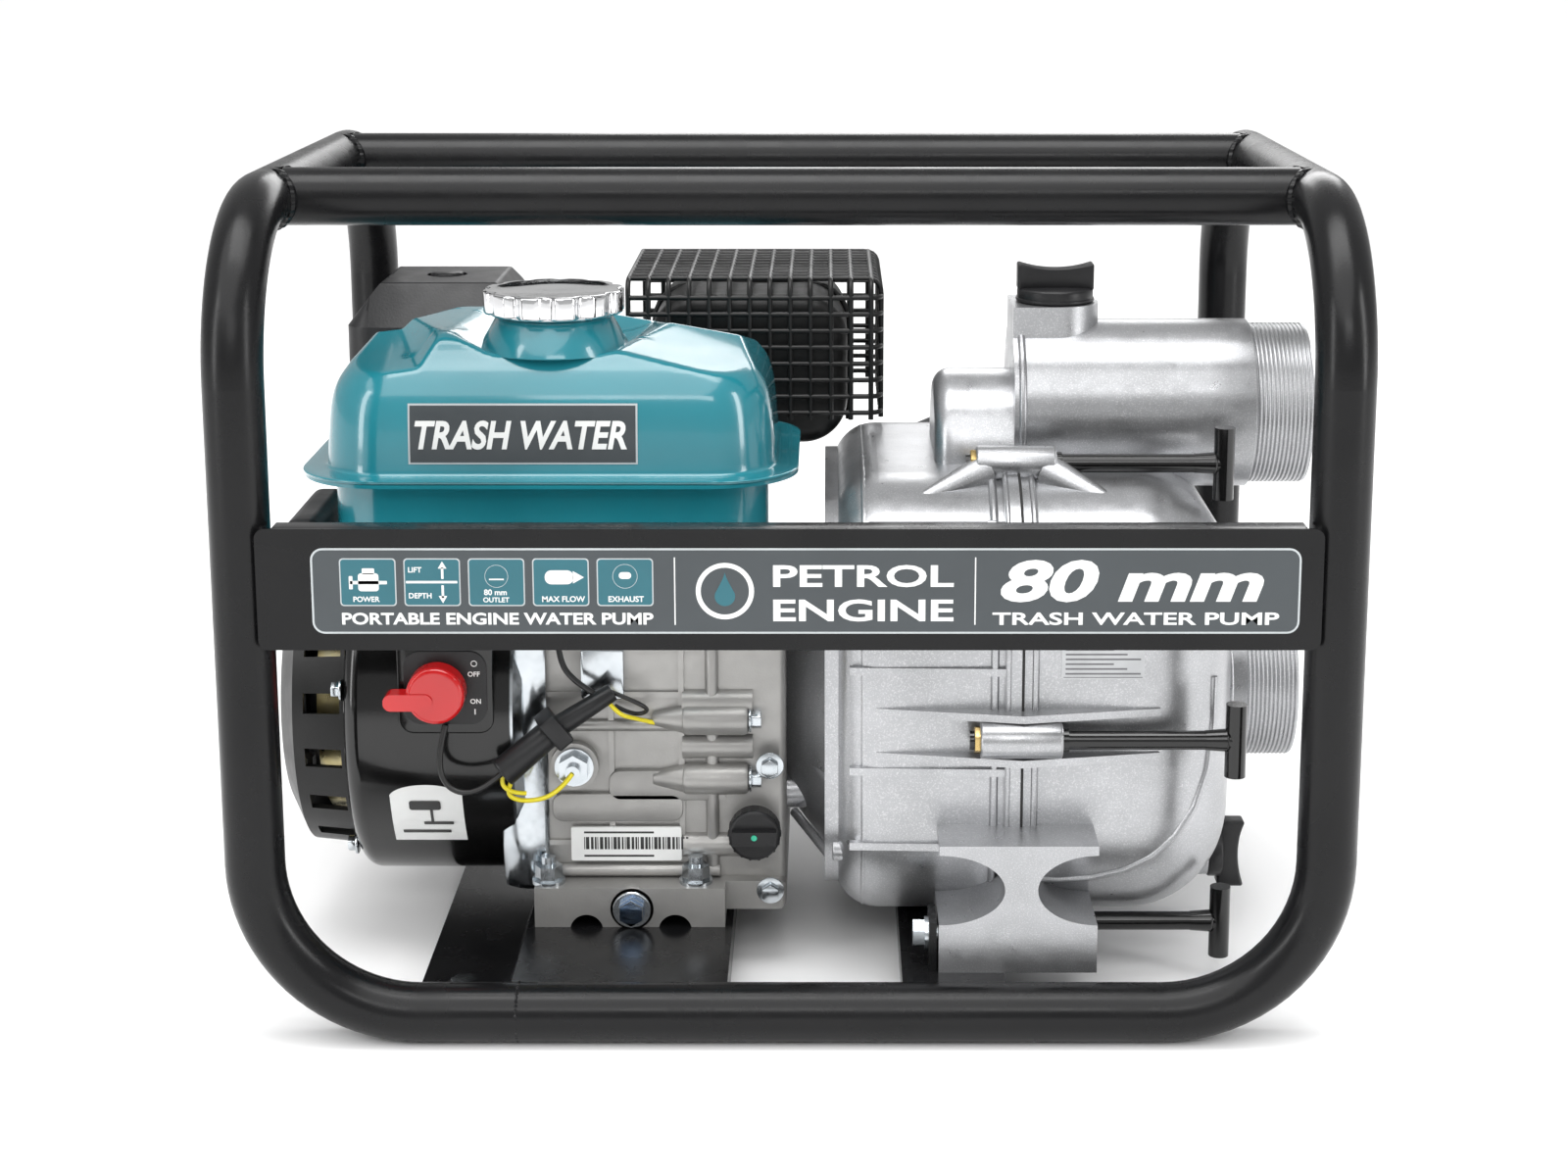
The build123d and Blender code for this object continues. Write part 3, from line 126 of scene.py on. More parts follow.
def start_finish(name):
    """A new procedural finish: material, node tree, shader and the piece's own coordinates."""
    finish = bpy.data.materials.new(name)
    finish.use_nodes = True
    tree = finish.node_tree
    shader = tree.nodes["Principled BSDF"]
    coords = tree.nodes.new("ShaderNodeTexCoord").outputs["Object"]
    return finish, tree, shader, coords


def speckle(tree, coords, scale, detail=2.0):
    """Soft random spots, scale of them to the metre."""
    noise = tree.nodes.new("ShaderNodeTexNoise")
    noise.inputs["Scale"].default_value = scale
    noise.inputs["Detail"].default_value = detail
    tree.links.new(coords, noise.inputs["Vector"])
    return noise.outputs["Fac"]


def graded(tree, factor, *stops):
    """Turns a factor into colours, each stop a position and a colour or a grey."""
    ramp = tree.nodes.new("ShaderNodeValToRGB")
    elements = ramp.color_ramp.elements
    while len(elements) < len(stops):
        elements.new(0.5)
    for element, (position, colour) in zip(elements, stops):
        element.position = position
        if isinstance(colour, float):
            colour = (colour, colour, colour)
        element.color = (*colour, 1)
    tree.links.new(factor, ramp.inputs["Fac"])
    return ramp.outputs["Color"]


def vary(tree, shader, coords, quality, spots, *stops):
    """Lets a quality of the shader drift over the piece in soft spots, of a scale and a detail."""
    tree.links.new(graded(tree, speckle(tree, coords, *spots), *stops), shader.inputs[quality])


def emboss(tree, shader, height, depth, strength=1.0):
    """Raises the surface by a height pattern, on top of any pattern already there."""
    bump = tree.nodes.new("ShaderNodeBump")
    bump.inputs["Distance"].default_value = depth
    bump.inputs["Strength"].default_value = strength
    tree.links.new(height, bump.inputs["Height"])
    if shader.inputs["Normal"].is_linked:
        tree.links.new(shader.inputs["Normal"].links[0].from_socket, bump.inputs["Normal"])
    tree.links.new(bump.outputs["Normal"], shader.inputs["Normal"])


def enamel(name, dark, light, sheen_low, sheen_high, peel_depth, coat=0.0, shine=0.5):
    """Paint on steel: faint drift in the colour, orange peel, and gloss that varies a little."""
    finish, tree, shader, coords = start_finish(name)
    vary(tree, shader, coords, "Base Color", (14, 3), (0.3, dark), (0.7, light))
    vary(tree, shader, coords, "Roughness", (45, 4), (0.35, sheen_low), (0.7, sheen_high))
    emboss(tree, shader, speckle(tree, coords, 700, 2), peel_depth)
    shader.inputs["Coat Weight"].default_value = coat
    shader.inputs["Coat Roughness"].default_value = 0.06
    shader.inputs["Specular IOR Level"].default_value = shine
    return finish


def dress(finish, *nodes):
    """Puts a finish on CAD nodes that are shown as they are."""
    for node in nodes:
        for material_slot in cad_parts[node].material_slots:
            material_slot.material = finish


satin_black = enamel("satin_black_powder_coat", (0.004, 0.004, 0.0045), (0.007, 0.007, 0.0075),
                     0.22, 0.32, 0.00003, 0.0, 0.26)
dress(satin_black, "frame_left_loop", "frame_right_loop", "frame_top_tubes", "engine_base_plate",
      "pump_base_plate")


def only(piece):
    """Makes one piece the selected and active one, and nothing else."""
    if bpy.context.mode != "OBJECT":
        bpy.ops.object.mode_set(mode="OBJECT")
    bpy.ops.object.select_all(action="DESELECT")
    piece.select_set(True)
    bpy.context.view_layer.objects.active = piece


def settle(piece):
    """Applies every modifier and then the place, so that the piece's object is at the origin."""
    only(piece)
    for modifier in list(piece.modifiers):
        bpy.ops.object.modifier_apply(modifier=modifier.name)
    bpy.ops.object.transform_apply(location=True, rotation=True, scale=True)


def join(name, pieces):
    """Makes several settled pieces one piece."""
    only(pieces[0])
    for piece in pieces:
        piece.select_set(True)
    bpy.ops.object.join()
    pieces[0].name = name
    return pieces[0]


def fit(piece, finish, body="frame", angle=35):
    """The last steps on a new piece: its finish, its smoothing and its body."""
    settle(piece)
    piece.data.materials.clear()
    piece.data.materials.append(finish)
    bpy.ops.object.shade_smooth_by_angle(angle=radians(angle))
    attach(piece, body)
    return piece


def ring(name, place, around, radius, thick, steps=48, sides=8):
    """A round bar bent to a ring about the X, Y or Z axis, in millimetres."""
    turn = {"X": (0, pi / 2, 0), "Y": (pi / 2, 0, 0), "Z": (0, 0, 0)}[around]
    bpy.ops.object.select_all(action="DESELECT")
    bpy.ops.mesh.primitive_torus_add(
        location=Vector(place) * mm, rotation=turn, major_segments=steps, minor_segments=sides,
        major_radius=radius * mm, minor_radius=thick * mm)
    piece = bpy.context.active_object
    piece.name = name
    settle(piece)
    return piece


TUBE_R = 15
SIDE_X = 270
RAIL_Y = 100
RAIL_Z = 421
FLOOR_SEAM_X = -139
FLOOR_TUBE_Y = 200
FLOOR_TUBE_Z = 15.2
WELDS_REACH_Y = 214.9
WELDS_LOW, WELDS_HIGH = 0.1, 435.9


def lay_bead(piece, centre, saddle_x, ripples):
    """Gives a ring the weave of a weld, and moves it onto the saddle of a side tube."""
    for vertex in piece.data.vertices:
        across = vertex.co - Vector(centre) * mm
        turn = atan2(across.z, across.y)
        weave = 0.35 * mm * sin(ripples * turn)
        vertex.co.y += weave * cos(turn)
        vertex.co.z += weave * sin(turn)
        vertex.co.x += saddle_x * TUBE_R * mm * abs(cos(turn))


beads = []
for side in (-1, 1):
    for y in (-RAIL_Y, RAIL_Y):
        place = (side * SIDE_X, y, RAIL_Z)
        rail_bead = ring(f"rail_weld_{len(beads)}", place, "X", 15.2, 2.6, 120)
        lay_bead(rail_bead, place, -side, 26)
        beads.append(rail_bead)
for y in (-FLOOR_TUBE_Y, FLOOR_TUBE_Y):
    place = (FLOOR_SEAM_X, y, FLOOR_TUBE_Z)
    seam_bead = ring(f"seam_weld_{len(beads)}", place, "X", 14.2, 1.0, 96)
    lay_bead(seam_bead, place, 0, 40)
    beads.append(seam_bead)
frame_welds = join("frame_welds", beads)
for vertex in frame_welds.data.vertices:
    vertex.co.y = max(-WELDS_REACH_Y * mm, min(WELDS_REACH_Y * mm, vertex.co.y))
    vertex.co.z = max(WELDS_LOW * mm, min(WELDS_HIGH * mm, vertex.co.z))
fit(frame_welds, satin_black)

# ---------------------------------------------------------------------------------------------
# The name plate: a shallow folded channel across the front legs, powder coated with the frame.
# A printed panel is stuck in it, dark grey with a light line round it, teal tiles and lettering.


def block(name, x, y, z, rounding=0.0, segments=3):
    """A box between two values on each axis, in millimetres, with its edges rounded."""
    bpy.ops.object.select_all(action="DESELECT")
    centre = [sum(span) / 2 * mm for span in (x, y, z)]
    bpy.ops.mesh.primitive_cube_add(size=1, location=centre)
    piece = bpy.context.active_object
    piece.name = name
    piece.scale = [(span[1] - span[0]) * mm for span in (x, y, z)]
    settle(piece)
    if rounding:
        soften(piece, rounding, segments)
    return piece


def soften(piece, width, segments=3, angle=40):
    """Rounds a piece's edges that are sharper than an angle, and applies it."""
    bevel = piece.modifiers.new("rounded", "BEVEL")
    bevel.width = width * mm
    bevel.segments = segments
    bevel.limit_method = "ANGLE"
    bevel.angle_limit = radians(angle)
    bevel.harden_normals = False
    settle(piece)


def round_corners(piece, along, radius, segments=6):
    """Rounds only the edges that run along one axis, as on a plate cut from sheet."""
    axis = "XYZ".index(along)
    only(piece)
    bpy.ops.object.mode_set(mode="EDIT")
    bpy.ops.mesh.select_mode(type="EDGE")
    bpy.ops.mesh.select_all(action="DESELECT")
    bpy.ops.object.mode_set(mode="OBJECT")
    vertices = piece.data.vertices
    for edge in piece.data.edges:
        run = (vertices[edge.vertices[1]].co - vertices[edge.vertices[0]].co).normalized()
        edge.select = abs(run[axis]) > 0.999
    bpy.ops.object.mode_set(mode="EDIT")
    bpy.ops.mesh.bevel(offset=radius * mm, segments=segments, affect="EDGES")
    bpy.ops.object.mode_set(mode="OBJECT")
    settle(piece)


def plate(name, x, y, z, along, radius, rounding=0.0):
    """A flat plate with rounded corners, seen along one axis, and slightly rounded faces."""
    piece = block(name, x, y, z)
    round_corners(piece, along, radius)
    if rounding:
        soften(piece, rounding, 2, 60)
    return piece


def lettering(name, words, left, bottom, height, face_y, thick=0.05, width=None, slant=0.0,
              weight=0.03):
    """Thin lettering on a face turned to the front, from its left end, in millimetres."""
    bpy.ops.object.select_all(action="DESELECT")
    bpy.ops.object.text_add(location=(left * mm, face_y * mm, bottom * mm), rotation=(pi / 2, 0, 0))
    piece = bpy.context.active_object
    piece.name = name
    piece.data.body = words
    piece.data.size = height / 0.7 * mm
    piece.data.extrude = thick * mm
    piece.data.resolution_u = 4
    piece.data.shear = slant
    piece.data.offset = weight * height * mm
    bpy.ops.object.convert(target="MESH")
    settle(piece)
    if width:
        start = min(vertex.co.x for vertex in piece.data.vertices)
        stretch = width * mm / (max(vertex.co.x for vertex in piece.data.vertices) - start)
        for vertex in piece.data.vertices:
            vertex.co.x = left * mm + (vertex.co.x - start) * stretch
    return piece


def printed(name, colour, roughness=0.35, coat=0.3):
    """Ink or vinyl: one colour with the faintest drift, and a soft gloss."""
    finish, tree, shader, coords = start_finish(name)
    lighter = tuple(min(1.0, part * 1.12) for part in colour)
    vary(tree, shader, coords, "Base Color", (30, 3), (0.35, colour), (0.7, lighter))
    vary(tree, shader, coords, "Roughness", (160, 3), (0.3, roughness - 0.06), (0.75, roughness + 0.08))
    emboss(tree, shader, speckle(tree, coords, 1500, 1), 0.00001)
    shader.inputs["Coat Weight"].default_value = coat
    return finish


panel_grey = printed("panel_grey_vinyl", (0.034, 0.042, 0.047))
panel_line = printed("panel_light_line", (0.42, 0.45, 0.46))
panel_teal = printed("panel_teal_ink", (0.008, 0.105, 0.135))
print_white = printed("print_white_ink", (0.72, 0.73, 0.72))
NAME_FACE = -214.5
NAME_SHEET = (NAME_FACE, -213.0)
NAME_FOLD = (-213.2, -200)
NAME_LOW, NAME_HIGH = 211, 272
name_face = plate("name_channel", (-260, 260), NAME_SHEET, (NAME_LOW, NAME_HIGH), "Y", 5)
name_upper_fold = block("name_upper_fold", (-252, 252), NAME_FOLD, (NAME_HIGH - 1.5, NAME_HIGH), 0.4)
name_lower_fold = block("name_lower_fold", (-252, 252), NAME_FOLD, (NAME_LOW, NAME_LOW + 1.5), 0.4)
name_channel = join("name_channel", [name_face, name_upper_fold, name_lower_fold])
fit(name_channel, satin_black)
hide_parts("name_plate")
for name, x, y, z, corner, finish in (
        ("name_panel_line", (-233, 249), (NAME_FACE - 0.2, NAME_FACE), (219.5, 262.5), 6, panel_line),
        ("name_panel", (-232, 248), (NAME_FACE - 0.3, NAME_FACE - 0.1), (220.5, 261.5), 5, panel_grey)):
    fit(plate(name, x, y, z, "Y", corner), finish)

# The print's levels on the panel, each a little in front of the one before.
RING_FACE = NAME_FACE - 0.3
WORDS_FACE = NAME_FACE - 0.34
TILE_FACE = NAME_FACE - 0.42
LIGHT_FACE = (NAME_FACE - 0.46, NAME_FACE - 0.4)
PRINT_LIMIT = -214.95
TILE_LEFT, TILE_BOTTOM = -219.0, 233.5
TILE_WIDE, TILE_HIGH = 27.5, 24.0
TILE_STEP = 31.3
TILE_BORDER = 0.6


def tile(name, left, lines):
    """A teal tile with a light line round it. Its lettering is given back, to be joined."""
    x = (left, left + TILE_WIDE)
    z = (TILE_BOTTOM, TILE_BOTTOM + TILE_HIGH)
    fit(plate(name + "_edge", x, (NAME_FACE - 0.36, RING_FACE), z, "Y", 1.8), panel_line)
    inner_x = (x[0] + TILE_BORDER, x[1] - TILE_BORDER)
    inner_z = (z[0] + TILE_BORDER, z[1] - TILE_BORDER)
    fit(plate(name + "_face", inner_x, (TILE_FACE, WORDS_FACE), inner_z, "Y", 1.5), panel_teal)
    return [lettering(f"{name}_words_{number}", words, left + x, TILE_BOTTOM + z, size, TILE_FACE, 0.04)
            for number, (words, x, z, size) in enumerate(lines)]


def mark(name, x, z, corner):
    """A flat light shape on the panel."""
    return plate(name, x, LIGHT_FACE, z, "Y", corner)


def pointer(name, x, z, size, turn):
    """A small flat triangle on the panel that points along an angle in degrees."""
    bpy.ops.object.select_all(action="DESELECT")
    bpy.ops.mesh.primitive_cylinder_add(
        vertices=3, radius=size * mm, depth=(LIGHT_FACE[1] - LIGHT_FACE[0]) * mm,
        location=(x * mm, sum(LIGHT_FACE) / 2 * mm, z * mm), rotation=(pi / 2, radians(turn), 0))
    piece = bpy.context.active_object
    piece.name = name
    settle(piece)
    return piece


# Each tile says one plain thing: power, lift, bore, flow or exhaust.
panel_print = []
power, lift, bore, flow, air = [TILE_LEFT + place * TILE_STEP for place in range(5)]
for name, left, lines in (
        ("tile_power", power, [("POWER", 6.2, 2.2, 2.6)]),
        ("tile_lift", lift, [("LIFT", 2.0, 17.0, 2.6), ("DEPTH", 2.0, 4.0, 2.6)]),
        ("tile_bore", bore, [("80 mm", 7.5, 5.6, 2.8), ("OUTLET", 7.0, 2.0, 2.4)]),
        ("tile_flow", flow, [("MAX FLOW", 4.3, 2.2, 2.8)]),
        ("tile_air", air, [("EXHAUST", 5.3, 2.2, 2.8)])):
    panel_print += tile(name, left, lines)
# The signs in the tiles: a little engine, two arrows, a bore, a pipe and a puff of smoke.
bore_middle = bore + TILE_WIDE / 2
air_middle = air + TILE_WIDE / 2
panel_print += [
    mark("pic_engine_body", (power + 9, power + 19), (241, 250), 1.5),
    mark("pic_engine_head", (power + 11, power + 17), (249.5, 252.5), 0.6),
    mark("pic_engine_shaft", (power + 5, power + 23), (244.5, 246.2), 0.3),
    mark("pic_engine_fan", (power + 4.5, power + 6.3), (242.0, 248.6), 0.3),
    mark("pic_lift_line", (lift + 1, lift + 26), (245.0, 246.2), 0.2),
    mark("pic_lift_stem", (lift + 18.2, lift + 19.4), (247.2, 253.0), 0.2),
    mark("pic_depth_stem", (lift + 18.2, lift + 19.4), (237.6, 244.0), 0.2),
    pointer("pic_lift_tip", lift + 18.8, 253.6, 2.4, 0),
    pointer("pic_depth_tip", lift + 18.8, 237.4, 2.4, 180),
    ring("pic_bore_round", (bore_middle, RING_FACE, 248.5), "Y", 5.6, 0.35, 32, 4),
    mark("pic_bore_line", (bore_middle - 3.6, bore_middle + 3.6), (246.6, 247.3), 0.1),
    mark("pic_flow_pipe", (flow + 6, flow + 20), (244.5, 251.5), 3.2),
    pointer("pic_flow_tip", flow + 21.5, 248, 3.6, 90),
    ring("pic_air_round", (air_middle, RING_FACE, 248.5), "Y", 6.0, 0.35, 32, 4),
    mark("pic_air_leaf", (air_middle - 3, air_middle + 3), (247.2, 250.6), 1.6)]

for name, words, left, bottom, height, width, slant, weight in (
        ("panel_strap", "PORTABLE ENGINE WATER PUMP", -218.5, 224.4, 5.6, 152, 0.0, 0.04),
        ("panel_middle_top", "PETROL", -8, 243.5, 10.5, 88, 0.0, 0.03),
        ("panel_middle_low", "ENGINE", -8, 226.2, 10.5, 88, 0.0, 0.03),
        ("panel_size", "80 mm", 103, 236.6, 19.5, 128, 0.22, 0.045),
        ("panel_kind", "TRASH WATER PUMP", 99, 224.2, 6.0, 140, 0.0, 0.03)):
    panel_print.append(lettering(name, words, left, bottom, height, WORDS_FACE, width=width, slant=slant,
                                 weight=weight))
panel_print.append(mark("panel_rule_left", (-56.2, -55.6), (224, 258), 0.2))
panel_print.append(mark("panel_rule_right", (90.2, 90.8), (224, 258), 0.2))
name_print = join("name_panel_print", panel_print)
for vertex in name_print.data.vertices:
    vertex.co.y = max(vertex.co.y, PRINT_LIMIT * mm)
fit(name_print, print_white)
# A drop in a round badge stands for water, beside the middle words.
BADGE_X, BADGE_Z = -31.5, 241
badge = ring("panel_badge_round", (BADGE_X, RING_FACE, BADGE_Z), "Y", 13.0, 1.2, 48, 6)
for vertex in badge.data.vertices:
    vertex.co.y = (RING_FACE + 0.1 * (vertex.co.y / mm - RING_FACE)) * mm
fit(badge, print_white)
DROP_R = 5
DROP_SHOULDER = BADGE_Z - 1
drop = mark("panel_badge_drop", (BADGE_X - DROP_R, BADGE_X + DROP_R), (233.5, 243.5), 4.9)
for vertex in drop.data.vertices:
    rise = max(0.0, vertex.co.z / mm - DROP_SHOULDER)
    vertex.co.z += rise * 2.0 * mm
    vertex.co.x = (BADGE_X + (vertex.co.x / mm - BADGE_X) * max(0.0, 1 - rise / 3.6)) * mm
fit(drop, panel_teal)

# ---------------------------------------------------------------------------------------------
# The seals: the shaft's seal, the suction flap and, further on, the gasket between the pump's
# halves are moulded in dull black rubber, slightly rough from the mould.

rubber, tree, shader, coords = start_finish("moulded_rubber")
vary(tree, shader, coords, "Base Color", (60, 3), (0.3, (0.012, 0.012, 0.012)), (0.8, (0.022, 0.021, 0.02)))
shader.inputs["Roughness"].default_value = 0.7
emboss(tree, shader, speckle(tree, coords, 900, 2), 0.00006)
dress(rubber, "mechanical_seal", "flap_valve")

# ---------------------------------------------------------------------------------------------
# The engine's crankcase, cover, head and carburettor: die cast aluminium, left as cast and
# tumbled to an even warm grey, with a fine grain and darker flow marks.


def cast_metal(name, dark, light, metal, sheen_low, sheen_high, grain, grain_depth, sparkle=0.0):
    """Cast metal: clouded colour, a fine grain, and sparkle where it is lacquered."""
    finish, tree, shader, coords = start_finish(name)
    clouds = speckle(tree, coords, 22, 5)
    colour = graded(tree, clouds, (0.3, dark), (0.72, light))
    if sparkle:
        flecks = graded(tree, speckle(tree, coords, 1500, 1), (0.52, 0.0), (0.72, sparkle))
        mix = tree.nodes.new("ShaderNodeMix")
        mix.data_type = "RGBA"
        mix.inputs["B"].default_value = (1, 1, 1, 1)
        tree.links.new(colour, mix.inputs["A"])
        tree.links.new(flecks, mix.inputs["Factor"])
        colour = mix.outputs["Result"]
    tree.links.new(colour, shader.inputs["Base Color"])
    shader.inputs["Metallic"].default_value = metal
    vary(tree, shader, coords, "Roughness", (120, 4), (0.3, sheen_low), (0.7, sheen_high))
    emboss(tree, shader, speckle(tree, coords, grain, 3), grain_depth)
    emboss(tree, shader, speckle(tree, coords, 45, 3), 0.0004, 0.5)
    return finish


engine_cast = cast_metal("engine_die_cast", (0.32, 0.315, 0.305), (0.42, 0.413, 0.40), 0.6, 0.34, 0.46,
                         1100, 0.00009)
dress(engine_cast, "crankcase", "crankcase_cover", "cylinder_head", "carburettor", "piston")


def bare_metal(name, clouds, dark, light, glints, sheen_low, sheen_high, waves=None):
    """Plated, turned or polished metal: clouded colour, gloss that varies, and maybe faint waves."""
    finish, tree, shader, coords = start_finish(name)
    vary(tree, shader, coords, "Base Color", clouds, (0.3, dark), (0.7, light))
    vary(tree, shader, coords, "Roughness", glints, (0.3, sheen_low), (0.7, sheen_high))
    shader.inputs["Metallic"].default_value = 1.0
    if waves:
        scale, depth, strength = waves
        emboss(tree, shader, speckle(tree, coords, scale), depth, strength)
    return finish


zinc = bare_metal("bright_zinc_plate", (70, 4), (0.50, 0.54, 0.57), (0.60, 0.63, 0.655),
                  (250, 3), 0.16, 0.26, (60, 0.00002, 0.5))
dress(zinc, "inner_shroud", "mounting_bolts", "oil_sensor", "throttle_lever", "choke_lever",
      "fuel_valve_lever", "spark_plug", "oil_drain_bolt")


def hexagon(name, start, end, across):
    """A six-sided nut or bolt head with chamfered corners, from one point to another."""
    bpy.ops.object.select_all(action="DESELECT")
    run = (Vector(end) - Vector(start)) * mm
    bpy.ops.mesh.primitive_cylinder_add(
        vertices=6, radius=across / sqrt(3) * mm, depth=run.length,
        location=(Vector(start) + Vector(end)) / 2 * mm,
        rotation=run.to_track_quat("Z", "Y").to_euler())
    piece = bpy.context.active_object
    piece.name = name
    settle(piece)
    soften(piece, 0.6, 2)
    return piece


def bar(name, start, end, r, sides=32, rounding=0.5, end_r=None):
    """A round bar, plain or tapering, from one point to another, with rounded ends."""
    bpy.ops.object.select_all(action="DESELECT")
    run = (Vector(end) - Vector(start)) * mm
    bpy.ops.mesh.primitive_cone_add(
        vertices=sides, radius1=r * mm, radius2=(r if end_r is None else end_r) * mm, depth=run.length,
        location=(Vector(start) + Vector(end)) / 2 * mm,
        rotation=run.to_track_quat("Z", "Y").to_euler())
    piece = bpy.context.active_object
    piece.name = name
    settle(piece)
    if rounding:
        soften(piece, rounding, 2, 50)
    return piece


def bolt_head(name, place, out, across, high, washer):
    """A hexagon flange bolt seen from outside: its washer and its head."""
    place = Vector(place)
    out = Vector(out).normalized()
    return [bar(name + "_washer", place, place + out * 1.4, washer),
            hexagon(name + "_head", place + out * 1.3, place + out * (1.3 + high), across)]


# The front wall's raised panels, its ridges and the lugs that take the cover's screws.
WALL_FACE = (-99, -94.5)
DRAIN_X, DRAIN_Z = -87.3, 36.3
LUG_HEIGHTS = (138, 104.5)
case_trim = [plate("case_panel_low", (-131, -60), WALL_FACE, (80, 96), "Y", 6, 1.0),
             plate("case_panel_high", (-100, -42), WALL_FACE, (92, 109), "Y", 6, 1.0),
             bar("case_ridge_top", (-141, -96, 134), (-40, -96, 134), 3.2),
             bar("case_ridge_right", (-44, -96, 52), (-44, -96, 190), 3.6),
             bar("case_ridge_foot", (-138, -97, 52), (-40, -97, 52), 3.5)]
for z in LUG_HEIGHTS:
    case_trim.append(bar(f"cover_lug_{z:.0f}", (-60, -98, z), (-24, -98, z), 8.5, 40, 2.5))
    case_trim.append(bar(f"cover_lug_neck_{z:.0f}", (-76, -97, z), (-58, -97, z), 3.5, end_r=8.0))
case_trim.append(bar("drain_boss", (DRAIN_X, -108, DRAIN_Z), (DRAIN_X, -115, DRAIN_Z), 12.5, 40, 0.8))
fit(join("crankcase_trim", case_trim), engine_cast, angle=40)
heads = []
for z in (114, 43):
    heads += bolt_head(f"cover_bolt_{z}", (-12.6, -104.0, z), (0, -1, 0), 9, 5.5, 7.5)
for z in LUG_HEIGHTS:
    heads += bolt_head(f"cover_side_bolt_{z:.0f}", (-24, -98, z), (1, 0, 0), 9, 5.5, 7.0)
fit(join("cover_bolts", heads), zinc)
# A white label with generic bars and two lines, which say nothing.
LABEL_PRINT = (-99.3, -99.1)
label_white = printed("label_white_vinyl", (0.78, 0.79, 0.78))
label_black = printed("label_black_ink", (0.02, 0.02, 0.02))
fit(plate("case_label", (-121, -61), (-99.2, -97), (58, 77), "Y", 1), label_white)
bars = []
x = -114.0
for number in range(31):
    wide = 0.5 + 0.45 * ((number * 7) % 4)
    bars.append(block(f"case_label_bar_{number}", (x, x + wide), LABEL_PRINT, (64.5, 71.5)))
    x += wide + 0.45 + 0.22 * ((number * 5) % 3)
for z in (60.2, 73.6):
    bars.append(block(f"case_label_line_{z:.0f}", (-114, -76), LABEL_PRINT, (z, z + 1.1)))
fit(join("case_label_print", bars), label_black)

# The oil drain bolt is blue passivated, on a bright washer.
blue_zinc = bare_metal("blue_passivated_zinc", (120, 3), (0.22, 0.36, 0.62), (0.40, 0.52, 0.70),
                       (300, 2), 0.16, 0.26)
drain_head = hexagon("drain_head", (DRAIN_X, -117.2, DRAIN_Z), (DRAIN_X, -123.0, DRAIN_Z), 13.2)
fit(drain_head, blue_zinc)
WASHER_Y = -116.4
drain_washer = ring("drain_washer", (DRAIN_X, WASHER_Y, DRAIN_Z), "Y", 9.0, 1.3)
for vertex in drain_washer.data.vertices:
    vertex.co.y = (WASHER_Y + 0.5 * (vertex.co.y / mm - WASHER_Y)) * mm
fit(drain_washer, zinc)
# A painted dot and moulded ribs on the oil filler's cap turn with it.
FILLER_X, FILLER_Z = -21, 76.5
FILLER_R = 13.6
dot_green = printed("dot_green_ink", (0.01, 0.42, 0.25))
fit(bar("dipstick_dot", (FILLER_X, -117.2, 77.5), (FILLER_X, -117.5, 77.5), 1.6, 24, 0), dot_green,
    body="dipstick")
grips = []
for number in range(18):
    turn = radians(number * 20)
    x = FILLER_X + FILLER_R * cos(turn)
    z = FILLER_Z + FILLER_R * sin(turn)
    grips.append(bar(f"cap_rib_{number}", (x, -103, z), (x, -110.5, z), 0.9, 8, 0))
dipstick_ribs = join("dipstick_ribs", grips)

# ---------------------------------------------------------------------------------------------
# The starter side: a pressed drum in gloss black enamel, a dished recoil cover in satin black
# over a perforated cup, and a bright inner plate. All are sheet steel, held by flange bolts.

gloss_black = enamel("gloss_black_enamel", (0.004, 0.004, 0.004), (0.006, 0.006, 0.006), 0.14, 0.22, 0.00002,
                     0.3, 0.4)
dress(gloss_black, "fan_housing", "rocker_cover", "t_bolt_1", "t_bolt_2", "t_bolt_3", "t_bolt_4",
      "t_bolt_5", "t_bolt_6")
heat_black = enamel("heat_proof_black", (0.006, 0.006, 0.006), (0.010, 0.010, 0.010), 0.34, 0.46, 0.00005,
                    0.0, 0.4)
dress(heat_black, "recoil_housing", "muffler")
gold_zinc, tree, shader, coords = start_finish("yellow_passivated_zinc")
vary(tree, shader, coords, "Base Color", (60, 4), (0.3, (0.50, 0.40, 0.18)), (0.55, (0.60, 0.52, 0.28)),
     (0.75, (0.50, 0.48, 0.36)))
vary(tree, shader, coords, "Roughness", (200, 3), (0.3, 0.24), (0.7, 0.38))
shader.inputs["Metallic"].default_value = 1.0
emboss(tree, shader, speckle(tree, coords, 300, 2), 0.00008)
dress(gold_zinc, "starter_cup")
cast_iron = cast_metal("cast_iron", (0.06, 0.058, 0.055), (0.10, 0.096, 0.09), 0.4, 0.55, 0.7, 700, 0.0002)
dress(cast_iron, "flywheel", "impeller", "volute")
machined = bare_metal("machined_steel", (90, 3), (0.42, 0.42, 0.42), (0.55, 0.55, 0.55), (320, 3), 0.25, 0.4)
dress(machined, "crankshaft")
black_plastic = enamel("moulded_black_plastic", (0.008, 0.008, 0.009), (0.013, 0.013, 0.014), 0.34, 0.48,
                       0.00008, 0.0, 0.4)
dress(black_plastic, "recoil_pulley", "starter_grip", "switch_body", "oil_dipstick", "air_filter_base",
      "air_filter_cover")
fit(dipstick_ribs, black_plastic, body="dipstick", angle=60)

